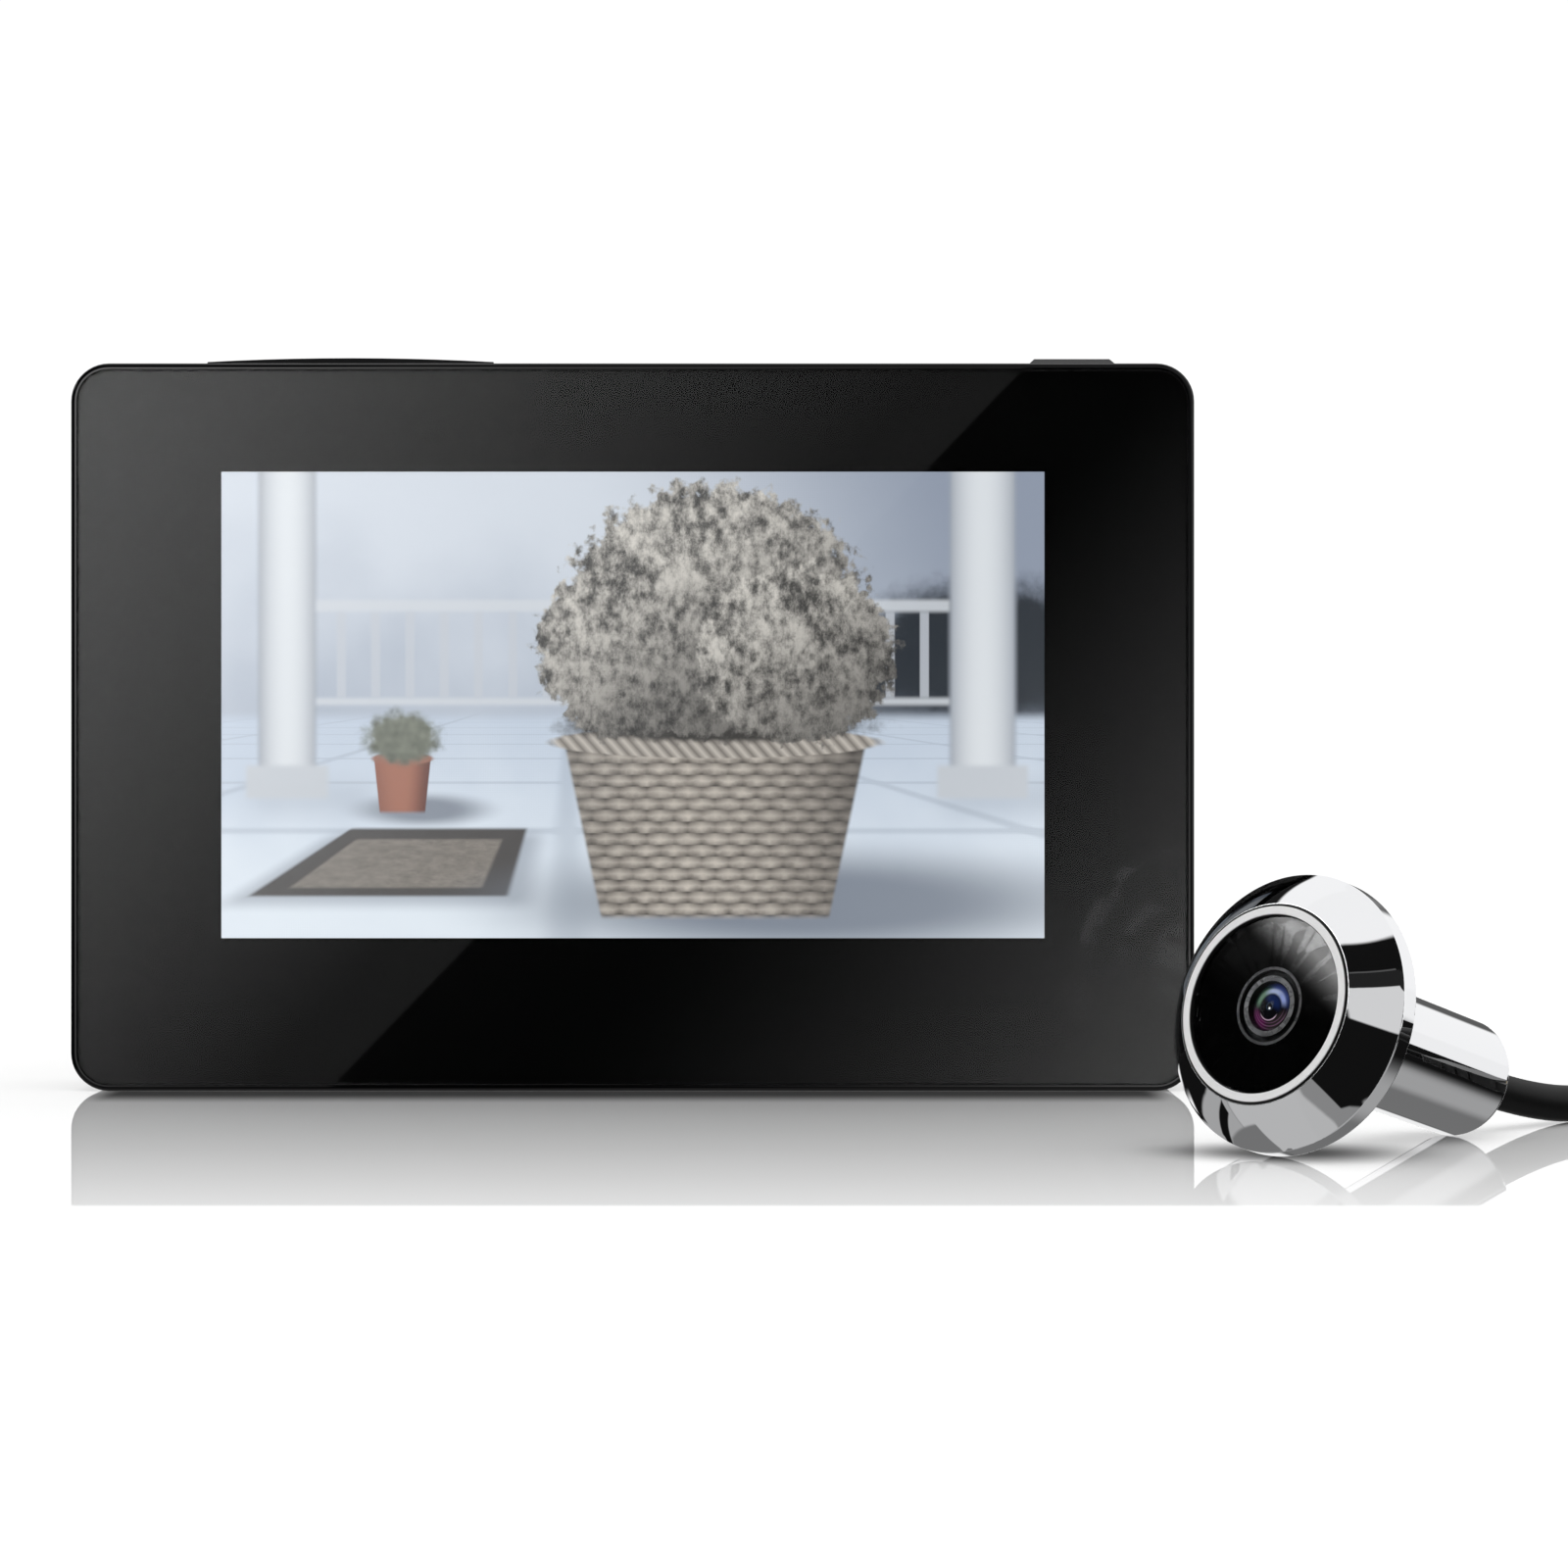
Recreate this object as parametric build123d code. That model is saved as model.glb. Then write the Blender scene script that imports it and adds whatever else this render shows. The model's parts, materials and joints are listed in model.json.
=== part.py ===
"""Peephole door camera: a screen unit for the inside of a door and a lens head for the outside.

Millimetres, +Z up, +X to the right, the screen looks along -Y.
The origin is the centre of the screen unit's bottom face.
Depths in the screen unit count back from the front of the glass.
"""

from build123d import *
import math
import os

os.makedirs("parts", exist_ok=True)

# How far a cut runs past the face it opens
overrun = 2.0

# Case of the screen unit
case_width = 129.5
case_height = 83.9
case_thickness = 18.0
case_corner = 4.4
wall = 1.8
front_depth = 8.0
lip_width = 0.7
lip_round = 0.5
rear_round = 2.5
seam_bevel = 0.2

# Glass and its printed border
glass_thickness = 1.1
glass_gap = 0.1
glass_bevel = 0.15
mask_thickness = 0.15
picture_side_border = 5.23
picture_top_border = 5.34
picture_foot_border = 8.0

# Display behind the glass
lcd_side_border = 12.0
lcd_top_border = 7.1
lcd_bottom = 9.6
lcd_corner = 0.6
lcd_gap = 0.2
panel_thickness = 1.2
backlight_thickness = 1.7
backlight_edge = 1.5
backlight_step = 0.3
ledge_thickness = 1.6
lcd_rib = 1.2

# Case screws and the posts they join
screw_inset = 5.2
post_radius = 2.6
post_hole_radius = 1.2
pilot_radius = 1.0
screw_radius = 0.95
screw_head_radius = 1.9
screw_head_height = 1.3
screw_sink = 3.0
screw_sink_radius = 2.2
screw_tip_gap = 0.55
cross_width = 0.5
cross_depth = 0.7
pilot_end = 1.0

# Keys on the top edge
key_depth = 8.0
key_thickness = 4.5
key_gap = 0.15
key_clearance = 0.2
power_inset = 13.65
power_width = 9.8
power_proud = 1.2
power_chamfer = 0.5
power_flange = 0.6
power_flange_height = 0.8
power_foot_radius = 1.6
power_travel = 0.4
menu_inset = 31.55
menu_width = 33.4
menu_end_proud = 0.8
menu_crown_proud = 1.25
menu_end_gap = 0.3
menu_clearance = 1.2
menu_foot_inset = 4.7
menu_foot_width = 3.0
menu_pin_radius = 0.75
menu_pin_drop = 3.5
menu_pin_gap = 0.05
ear_hole_gap = 0.02
hub_radius = 1.5
ear_width = 4.0
ear_thickness = 1.1
ear_gap = 0.3
ear_lower = 1.5

# Key board under the keys
key_board_drop = 5.9
key_board_thickness = 0.8
key_board_left_margin = 2.6
key_board_right_margin = 0.5
key_board_reach_front = 3.0
key_board_reach_back = 4.5
pad_thickness = 0.4
pad_margin = 0.9
dome_height = 1.2
dome_radius = 2.2
dome_top_radius = 1.4
dome_gap = 0.05
rib_thickness = 1.5
rib_set_back = 0.4
rib_foot = 1.5
rib_gap = 0.1
rib_shares = (0.14, 0.87)

# Battery bay, seen from behind on the right
cell_radius = 5.25
cell_length = 43.5
cell_nub_radius = 2.0
cell_nub_length = 1.0
cell_round = 0.4
cell_count = 3
cell_spacing = 10.85
cell_gap = 0.15
bay_floor = 5.6
bay_floor_wall = 1.0
bay_end_wall = 1.0
rail_wall = 2.0
bay_side_gap = 0.35
contact_thickness = 0.4
contact_size = 8.0
contact_dimple = 0.5
contact_dimple_radius = 1.6
contact_leaf = 2.6
leaf_thickness = 0.3
leaf_half = 3.2

# Battery cover that slides off sideways
cover_thickness = 1.6
cover_margin = 0.55
cover_end_margin = 2.15
cover_gap = 0.1
tongue_width = 1.2
tongue_thickness = 0.7
grip_count = 5
grip_pitch = 2.4
grip_width = 1.0
grip_depth = 0.35
grip_start = 6.0
grip_height = 22.0

# Door bracket, its hooks and the recess that takes it
bracket_cover_gap = 7.4
bracket_side_border = 12.75
bracket_rise = 2.05
bracket_height = 48.0
bracket_thickness = 1.2
bracket_corner = 4.0
bracket_gap = 0.1
bracket_side_gap = 0.3
bracket_travel = 5.0
sleeve_hole_radius = 7.3
hook_inset_x = 6.0
hook_inset_z = 10.0
hook_width = 4.0
hook_thickness = 1.2
hook_lip = 3.8
hook_reach_gap = 0.2
slot_side_gap = 0.3
slot_end_gap = 0.3
recess_wall = 1.6
recess_step = 1.4

# Well for the lead behind the bracket
well_hook_gap = 9.0
well_height = 22.0
well_floor = 10.0
well_wall = 1.2

# Main board and what it carries
board_front = 6.5
board_thickness = 1.0
board_bay_gap = 4.55
board_side_gap = 2.95
board_bottom = 8.5
board_rib_gap = 0.7
standoff_inset_x = 4.0
standoff_inset_z = 3.5
standoff_radius = 2.2
standoff_hole_radius = 0.75
board_screw_radius = 0.7
board_screw_head_radius = 1.5
board_screw_head_height = 0.8
board_screw_length = 4.5
board_hole_radius = 0.9
socket_length = 7.0
socket_width = 8.4
socket_height = 5.9
socket_set_back = 0.2
socket_gap = 0.15
socket_cavity_width = 6.4
socket_cavity_height = 3.2
socket_cavity_depth = 4.5
socket_roof = 0.4
ribbon_width = 22.0
ribbon_thickness = 0.15
ribbon_start = 2.4
ribbon_flat = 5.0
ribbon_rise = 5.0
ribbon_lap = 1.2
ribbon_socket_width = 25.0
ribbon_socket_height = 3.4
ribbon_socket_thickness = 1.3
ribbon_inset = 22.0

# Chips on the back of the main board, with their places as shares of its width and height
chip_width = 11.0
chip_height = 11.0
chip_thickness = 1.2
memory_width = 8.0
memory_height = 11.0
memory_thickness = 1.0
regulator_width = 4.0
regulator_height = 3.2
regulator_thickness = 1.4
crystal_width = 5.0
crystal_height = 3.0
crystal_thickness = 1.1
capacitor_radius = 2.1
capacitor_height = 4.2
chip_share = (0.13, 0.30)
memory_share = (0.13, 0.58)
crystal_share = (0.34, 0.13)
regulator_shares = ((0.50, 0.14), (0.62, 0.14), (0.74, 0.14))
capacitor_shares = ((0.40, 0.86), (0.52, 0.86))

# Lens head: lengths count from the front of the rim towards the tube's end
rim_radius = 13.63
rim_thickness = 1.9
rim_round = 0.25
cone_front_land = 0.2
cone_length = 3.62
cone_bulge = 0.12
tube_radius = 6.0
tube_end = 29.32
tube_end_round = 0.8
tube_wall = 1.0
ring_radius = 9.59
ring_width = 0.92
ring_proud = 0.2
ring_thickness = 1.5
ring_bevel = 0.12
ring_gap = 0.05
window_thickness = 1.0
bezel_wall = 1.0
bezel_plate = 0.6
bezel_gap = 0.05
chamber_wall = 0.7
lens_ring_width = 0.38
lens_ring_thickness = 0.3
lens_ring_gap = 0.07
barrel_radius = 3.4
barrel_sensor_gap = 0.4
barrel_sink = 0.7
barrel_land = 0.3
retainer_step = 0.4
retainer_width = 0.6
retainer_thickness = 0.7
front_lens_thickness = 1.8
front_lens_sag = 0.6
front_lens_curve = 4.9
inner_bore_radius = 2.0
inner_lens_gap = 0.03
inner_lens_count = 3
inner_lens_thickness = 1.1
inner_lens_pitch = 2.3
inner_lens_space = 1.22
inner_lens_curve = 5.0
holder_gap = 0.05
holder_space = 1.4
holder_flat = 7.6
thread_gap = 0.05
sensor_board_front = 10.6
sensor_board_thickness = 0.8
sensor_size = 4.6
sensor_thickness = 0.9
filter_thickness = 0.3
filter_size = 4.4
gasket_tube_gap = 1.2
gasket_rim = 1.35
gasket_thickness = 0.6
bung_length = 4.0
bung_sink = 0.5
bung_gap = 0.02

# How the lens head lies beside the screen unit
head_x = 65.45
head_y = -77.2
head_turn = 46.6

# Lead and its plug
lead_radius = 1.9
lead_arc_share = 0.45
plug_body_length = 9.0
plug_body_width = 7.4
plug_body_height = 3.8
plug_round = 0.7
plug_nose_length = 4.0
plug_nose_width = 6.2
plug_nose_height = 3.0
plug_grip_count = 3
plug_grip_pitch = 1.6
plug_grip_width = 0.6
plug_grip_depth = 0.35
plug_contact_count = 6
plug_contact_pitch = 0.9
plug_contact_width = 0.45
plug_contact_length = 2.8
plug_contact_thickness = 0.12

# Places worked out from the sizes above
case_z = case_height / 2
bay_z = case_z
bracket_z = case_z + bracket_rise
power_x = case_width / 2 - power_inset
menu_x = menu_inset - case_width / 2
menu_foot_offset = menu_width / 2 - menu_foot_inset
key_board_top = case_height - key_board_drop
key_board_front = key_depth - key_board_reach_front
key_board_back = key_depth + key_board_reach_back
rib_front = key_board_front + rib_set_back
rib_bottom = key_board_top - key_board_thickness - rib_foot
glass_width = case_width - 2 * (lip_width + glass_gap)
glass_height = case_height - 2 * (lip_width + glass_gap)
glass_corner = case_corner - lip_width - glass_gap
glass_back = glass_thickness + mask_thickness
lcd_width = case_width - 2 * lcd_side_border
lcd_height = case_height - lcd_bottom - lcd_top_border
lcd_z = lcd_bottom + lcd_height / 2
picture_width = lcd_width - 2 * picture_side_border
picture_height = lcd_height - picture_foot_border - picture_top_border
picture_z = lcd_bottom + picture_foot_border + picture_height / 2
panel_back = glass_back + panel_thickness
lcd_back = panel_back + backlight_thickness
ledge_back = glass_back + ledge_thickness
rear_wall_front = case_thickness - wall
top_wall_under = case_height - wall
key_front = key_depth - key_thickness / 2
key_back = key_depth + key_thickness / 2
dome_top = key_board_top + pad_thickness + dome_height
key_foot = dome_top + dome_gap
menu_left = menu_x - menu_width / 2
menu_right = menu_x + menu_width / 2
power_left = power_x - power_width / 2
key_board_left = menu_left - key_board_left_margin
key_board_right = power_x + power_width / 2 + key_board_right_margin
pin_z = case_height - menu_pin_drop
cell_depth = bay_floor + cell_gap + cell_radius
bay_left = -case_width / 2 + wall + bay_end_wall
bay_length = cell_length + cell_nub_length + 2 * contact_thickness + contact_dimple + contact_leaf
bay_right = bay_left + bay_length
bay_height = (cell_count - 1) * cell_spacing + 2 * (cell_radius + bay_side_gap)
cover_right = bay_right + cover_end_margin
cover_front = case_thickness - cover_thickness
cover_half = bay_height / 2 + cover_margin
plate_back = case_thickness - bracket_gap
plate_front = plate_back - bracket_thickness
recess_floor = case_thickness - recess_step
recess_under = recess_floor - recess_wall
bracket_left = cover_right + bracket_cover_gap
bracket_width = case_width / 2 - bracket_side_border - bracket_left
bracket_x = bracket_left + bracket_width / 2
hook_spacing_x = bracket_width - 2 * hook_inset_x
hook_spacing_z = bracket_height - 2 * hook_inset_z
recess_low = bracket_z - bracket_height / 2 - bracket_travel - bracket_side_gap
recess_high = bracket_z + bracket_height / 2 + bracket_side_gap
well_width = hook_spacing_x - 2 * well_hook_gap
well_right = bracket_x + well_width / 2
board_back = board_front + board_thickness
board_left = bay_right + bay_end_wall + board_bay_gap
board_right = case_width / 2 - wall - board_side_gap
board_top = rib_bottom - board_rib_gap
socket_top = board_back + socket_height
ribbon_x = board_left + ribbon_inset
ribbon_low = lcd_bottom + ribbon_start
ribbon_bend = ribbon_low + ribbon_flat
ribbon_high = ribbon_bend + ribbon_rise
screw_seat = case_thickness - screw_sink
screw_length = screw_seat - ledge_back - pilot_end - screw_tip_gap
bore_radius = tube_radius - tube_wall
cone_front_radius = ring_radius + ring_gap + cone_front_land
seat = -cone_length - ring_proud + ring_thickness
chamber_radius = ring_radius - ring_width
chamber_end = rim_thickness - gasket_thickness - chamber_wall
gasket_inner_radius = tube_radius + gasket_tube_gap
gasket_outer_radius = rim_radius - gasket_rim
barrel_front = seat + barrel_sink
barrel_end = sensor_board_front - sensor_thickness - filter_thickness - barrel_sensor_gap
retainer_radius = barrel_radius - retainer_step
bezel_hole_radius = barrel_radius + lens_ring_gap + lens_ring_width
inner_lens_start = barrel_front + front_lens_thickness + inner_lens_space
holder_start = chamber_end + holder_space


def at(depth):
    """Y of a place that lies this deep behind the front of the glass."""
    return depth - case_thickness / 2


def block(x_from, x_to, depth_from, depth_to, z_from, z_to):
    """Straight-sided block between two places along each direction."""
    middle = ((x_from + x_to) / 2, at((depth_from + depth_to) / 2), (z_from + z_to) / 2)
    return Pos(*middle) * Box(x_to - x_from, depth_to - depth_from, z_to - z_from)


def slab(width, height, corner, depth_from, depth_to, x=0, z=case_z):
    """Plate square to the viewing direction, with four round corners."""
    outline = RectangleRounded(width, height, corner)
    plane = Plane(origin=(x, at(depth_from), z), x_dir=(1, 0, 0), z_dir=(0, 1, 0))
    return extrude(plane * outline, depth_to - depth_from)


def peg(radius, depth_from, depth_to, x, z):
    """Round peg that runs from front to back."""
    plane = Plane(origin=(x, at(depth_from), z), x_dir=(1, 0, 0), z_dir=(0, 1, 0))
    return extrude(plane * Circle(radius), depth_to - depth_from)


def turned(outline):
    """Solid of revolution about Z from a closed outline of radius and height."""
    return revolve(Plane.XZ * make_face(Polyline(*outline, close=True)), Axis.Z)


def disc(radius, low, high, bore=0):
    """Round disc about Z, with a bore where one is given."""
    return turned([(bore, low), (radius, low), (radius, high), (bore, high)])


def outer_case(depth_from, depth_to):
    """Outside of the case between two depths, with its front and rear edges rounded."""
    body = slab(case_width, case_height, case_corner, 0, case_thickness)
    body = fillet(body.faces().sort_by(Axis.Y)[0].edges(), lip_round)
    body = fillet(body.faces().sort_by(Axis.Y)[-1].edges(), rear_round)
    whole = case_width + overrun
    return body & block(-whole, whole, depth_from, depth_to, -overrun, case_height + overrun)


def screw_places():
    """X and Z of the four case screws."""
    x = case_width / 2 - screw_inset
    return [(sx * x, z) for sx in (-1, 1) for z in (screw_inset, case_height - screw_inset)]


def standoff_places():
    """X and Z of the four posts that carry the main board."""
    left, right = board_left + standoff_inset_x, board_right - standoff_inset_x
    low, high = board_bottom + standoff_inset_z, board_top - standoff_inset_z
    return [(x, z) for x in (left, right) for z in (low, high)]


def key_slots():
    """Openings in the top edge for the power key and the menu rocker."""
    front, back = key_front - key_gap, key_back + key_gap
    low, high = top_wall_under - overrun / 2, case_height + overrun
    power_half = power_width / 2 + key_gap
    menu_half = menu_width / 2 + menu_end_gap
    power = block(power_x - power_half, power_x + power_half, front, back, low, high)
    return power + block(menu_x - menu_half, menu_x + menu_half, front, back, low, high)


def rocker_ear(depth_from, depth_to):
    """Ear under the top edge that holds one end of the rocker's pin."""
    low = pin_z - ear_lower
    half = ear_width / 2
    ear = block(menu_x - half, menu_x + half, depth_from, depth_to, low, top_wall_under + wall / 2)
    hole = menu_pin_radius + ear_hole_gap
    return ear - peg(hole, depth_from - overrun, depth_to + overrun, menu_x, pin_z)


def seam_cut(depth, towards):
    """Ring that bevels the outside edge of a case half where the two halves meet."""
    plane = Plane(origin=(0, at(depth), case_z), x_dir=(1, 0, 0), z_dir=(0, 1, 0))
    inner = plane * RectangleRounded(
        case_width - 2 * seam_bevel, case_height - 2 * seam_bevel, case_corner - seam_bevel
    )
    outer = plane * RectangleRounded(case_width, case_height, case_corner)
    tapered = loft([inner, outer.moved(Location((0, towards * seam_bevel, 0)))])
    band = slab(
        case_width + overrun,
        case_height + overrun,
        case_corner,
        min(depth, depth + towards * seam_bevel),
        max(depth, depth + towards * seam_bevel),
    )
    return band - tapered


def front_frame():
    """Front half of the case: thin lip, ledge for the glass, window and posts."""
    cavity = (case_width - 2 * wall, case_height - 2 * wall, case_corner - wall)
    window = (lcd_width + 2 * lcd_gap, lcd_height + 2 * lcd_gap, lcd_corner)
    body = outer_case(0, front_depth)
    body -= slab(
        glass_width + 2 * glass_gap,
        glass_height + 2 * glass_gap,
        glass_corner + glass_gap,
        -overrun,
        glass_back,
    )
    body -= slab(*cavity, ledge_back, front_depth + overrun)
    rim = (window[0] + 2 * lcd_rib, window[1] + 2 * lcd_rib, lcd_corner + lcd_rib)
    body += slab(*rim, ledge_back, lcd_back, z=lcd_z)
    body -= slab(*window, 0, front_depth, z=lcd_z)
    for x, z in screw_places():
        body += peg(post_radius, ledge_back, front_depth, x, z)
        body -= peg(pilot_radius, ledge_back + pilot_end, front_depth + overrun, x, z)
    body += rocker_ear(key_front - ear_gap - ear_thickness, key_front - ear_gap)
    body -= seam_cut(front_depth, -1)
    return body - key_slots()


def front_glass():
    """Clear cover glass with a fine bevel round its front edge."""
    glass = slab(glass_width, glass_height, glass_corner, 0, glass_thickness)
    return chamfer(glass.faces().sort_by(Axis.Y)[0].edges(), glass_bevel)


def glass_mask():
    """Black border behind the glass, open where the picture shows."""
    mask = slab(glass_width, glass_height, glass_corner, glass_thickness, glass_back)
    x, z = picture_width / 2, picture_height / 2
    return mask - block(-x, x, 0, front_depth, picture_z - z, picture_z + z)


def lcd_panel():
    """Display cell that shows the picture."""
    return slab(lcd_width, lcd_height, lcd_corner, glass_back, panel_back, z=lcd_z)


def backlight_unit():
    """Pressed tray behind the display, with a shallow step round its back."""
    tray = slab(lcd_width, lcd_height, lcd_corner, panel_back, lcd_back, z=lcd_z)
    inner = (lcd_width - 2 * backlight_edge, lcd_height - 2 * backlight_edge, lcd_corner)
    raised = slab(*inner, lcd_back - backlight_step, lcd_back, z=lcd_z)
    rim = slab(lcd_width, lcd_height, lcd_corner, lcd_back - backlight_step, lcd_back, z=lcd_z)
    return tray - (rim - raised)


def lcd_ribbon():
    """Flat ribbon from the back of the display up to its socket on the main board."""
    middle = ribbon_thickness / 2
    path = Polyline(
        (at(lcd_back + middle), ribbon_low),
        (at(lcd_back + middle), ribbon_bend),
        (at(board_front - ribbon_socket_thickness / 2), ribbon_high - ribbon_lap),
        (at(board_front - ribbon_socket_thickness / 2), ribbon_high),
    )
    strip = trace(path, ribbon_thickness)
    plane = Plane(origin=(ribbon_x - ribbon_width / 2, 0, 0), x_dir=(0, 1, 0), z_dir=(1, 0, 0))
    return extrude(plane * strip, ribbon_width)


def ribbon_socket():
    """Socket on the main board that takes the display's ribbon."""
    half = ribbon_socket_width / 2
    front = board_front - ribbon_socket_thickness
    return block(
        ribbon_x - half,
        ribbon_x + half,
        front,
        board_front,
        ribbon_high,
        ribbon_high + ribbon_socket_height,
    )


def main_board():
    """Main circuit board with holes for its four screws."""
    board = block(board_left, board_right, board_front, board_back, board_bottom, board_top)
    for x, z in standoff_places():
        board -= peg(board_hole_radius, board_front - overrun, board_back + overrun, x, z)
    return board


def board_place(share):
    """X and Z of a place on the main board, given as shares of its width and height."""
    across, up = board_right - board_left, board_top - board_bottom
    return board_left + share[0] * across, board_bottom + share[1] * up


def chip(share, width, height, thickness):
    """One flat chip on the back of the main board."""
    x, z = board_place(share)
    low, high = z - height / 2, z + height / 2
    return block(x - width / 2, x + width / 2, board_back, board_back + thickness, low, high)


def board_chips():
    """Processor, memory, regulators, crystal and capacitors, soldered to the main board."""
    chips = chip(chip_share, chip_width, chip_height, chip_thickness)
    chips += chip(memory_share, memory_width, memory_height, memory_thickness)
    chips += chip(crystal_share, crystal_width, crystal_height, crystal_thickness)
    for share in regulator_shares:
        chips += chip(share, regulator_width, regulator_height, regulator_thickness)
    for share in capacitor_shares:
        x, z = board_place(share)
        chips += peg(capacitor_radius, board_back, board_back + capacitor_height, x, z)
    return chips


def board_screws():
    """Four small screws that hold the main board on its posts."""
    screws = Part()
    for x, z in standoff_places():
        head = board_front - board_screw_head_height
        screws += peg(board_screw_head_radius, head, board_front, x, z)
        screws += peg(board_screw_radius, head, head + board_screw_length, x, z)
    return screws


def camera_socket():
    """Socket on the main board that takes the lead's plug from the well."""
    left = well_right + socket_set_back
    half = socket_width / 2
    low, high = bracket_z - half, bracket_z + half
    body = block(left, left + socket_length, board_back, socket_top, low, high)
    inner = socket_cavity_width / 2
    roof = socket_top - socket_roof
    return body - block(
        left - overrun,
        left + socket_cavity_depth,
        roof - socket_cavity_height,
        roof,
        bracket_z - inner,
        bracket_z + inner,
    )


def key_board():
    """Narrow board that lies under the keys and carries their domes."""
    low = key_board_top - key_board_thickness
    ends = (key_board_left, key_board_right)
    return block(*ends, key_board_front, key_board_back, low, key_board_top)


def dome_pad(centre, places, half):
    """Silicone pad with a dome under each place that a key presses."""
    top = key_board_top + pad_thickness
    y = key_thickness / 2 + pad_margin
    pad = block(centre - half, centre + half, key_depth - y, key_depth + y, key_board_top, top)
    for x in places:
        cone = Cone(dome_radius, dome_top_radius, dome_height)
        pad += Pos(x, at(key_depth), top + dome_height / 2) * cone
    return pad


def power_dome():
    """Silicone dome under the power key."""
    return dome_pad(power_x, [power_x], power_width / 2)


def menu_domes():
    """Silicone pad with a dome under each end of the menu rocker."""
    places = [menu_x - menu_foot_offset, menu_x + menu_foot_offset]
    return dome_pad(menu_x, places, menu_width / 2)


def power_key():
    """Power key: chamfered cap, flange behind the wall and a foot on the dome."""
    half, flange_half = power_width / 2, power_width / 2 + power_flange
    top = case_height + power_proud
    flange_top = top_wall_under - key_clearance
    flange_low = flange_top - power_flange_height
    cap = block(power_x - half, power_x + half, key_front, key_back, flange_low, top)
    cap = chamfer(cap.faces().sort_by(Axis.Z)[-1].edges(), power_chamfer)
    cap += block(
        power_x - flange_half,
        power_x + flange_half,
        key_front - power_flange,
        key_back + power_flange,
        flange_low,
        flange_top,
    )
    foot = Cylinder(power_foot_radius, flange_low - key_foot)
    return cap + Pos(power_x, at(key_depth), (flange_low + key_foot) / 2) * foot


def menu_rocker():
    """Menu rocker: long key with an arched top, a hub on its pin and two feet."""
    half = menu_width / 2
    end, crown = case_height + menu_end_proud, case_height + menu_crown_proud
    low = top_wall_under - menu_clearance
    left, right = menu_x - half, menu_x + half
    outline = Polyline((left, end), (left, low), (right, low), (right, end))
    arch = ThreePointArc((left, end), (menu_x, crown), (right, end))
    plane = Plane(origin=(0, at(key_back), 0), x_dir=(1, 0, 0), z_dir=(0, -1, 0))
    key = extrude(plane * make_face([outline, arch]), key_thickness)
    key += peg(hub_radius, key_front, key_back, menu_x, pin_z)
    foot_half = menu_foot_width / 2
    for x in (menu_x - menu_foot_offset, menu_x + menu_foot_offset):
        key += block(x - foot_half, x + foot_half, key_front, key_back, key_foot, low)
    bore = menu_pin_radius + menu_pin_gap
    return key - peg(bore, key_front - overrun, key_back + overrun, menu_x, pin_z)


def rocker_pin():
    """Steel pin that the menu rocker tilts on."""
    reach = ear_gap + ear_thickness
    return peg(menu_pin_radius, key_front - reach, key_back + reach, menu_x, pin_z)


def hook_places():
    """X and Z of the underside of each bracket hook."""
    x, z = hook_spacing_x / 2, hook_spacing_z / 2
    return [(bracket_x + sx * x, bracket_z + sz * z) for sx in (-1, 1) for sz in (-1, 1)]


def rear_shell():
    """Rear half of the case with battery bay, bracket recess, lead well, posts and ribs."""
    body = outer_case(front_depth, case_thickness)
    body -= slab(
        case_width - 2 * wall,
        case_height - 2 * wall,
        case_corner - wall,
        front_depth - overrun,
        rear_wall_front,
    )
    body -= seam_cut(front_depth, 1)
    body = add_bracket_recess(body)
    body = add_battery_bay(body)
    for x, z in screw_places():
        body += peg(post_radius, front_depth, rear_wall_front, x, z)
        body -= peg(post_hole_radius, 0, case_thickness + overrun, x, z)
        body -= peg(screw_sink_radius, screw_seat, case_thickness + overrun, x, z)
    for x, z in standoff_places():
        body += peg(standoff_radius, board_back, rear_wall_front, x, z)
        body -= peg(standoff_hole_radius, board_back - overrun, board_back + board_screw_length, x, z)
    body += rocker_ear(key_back + ear_gap, key_back + ear_gap + ear_thickness)
    return add_key_board_ribs(body) - key_slots()


def add_bracket_recess(body):
    """Rear shell with the bracket's recess, the hook slots and the lead's well."""
    height = recess_high - recess_low
    width = bracket_width + 2 * bracket_side_gap
    middle = (recess_high + recess_low) / 2
    place = {"x": bracket_x, "z": middle}
    outer = (width + 2 * recess_wall, height + 2 * recess_wall, bracket_corner + recess_wall)
    body += slab(*outer, recess_under, rear_wall_front, **place)
    well_x, well_z = well_width / 2, well_height / 2
    body += block(
        bracket_x - well_x - well_wall,
        well_right + well_wall,
        well_floor - well_wall,
        recess_under,
        bracket_z - well_z - well_wall,
        bracket_z + well_z + well_wall,
    )
    inner = (width, height, bracket_corner)
    body -= slab(*inner, recess_floor, case_thickness + overrun, **place)
    body -= block(
        bracket_x - well_x,
        well_right,
        well_floor,
        recess_floor + overrun,
        bracket_z - well_z,
        bracket_z + well_z,
    )
    slot_half = hook_width / 2 + slot_side_gap
    for x, z in hook_places():
        body -= block(
            x - slot_half,
            x + slot_half,
            recess_under - overrun,
            recess_floor + overrun,
            z - bracket_travel - slot_end_gap,
            z + hook_thickness + slot_end_gap,
        )
    mouth = socket_width / 2 + socket_gap
    return body - block(
        well_right,
        well_right + well_wall + overrun,
        well_floor - well_wall - overrun,
        socket_top + socket_gap,
        bracket_z - mouth,
        bracket_z + mouth,
    )


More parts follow.
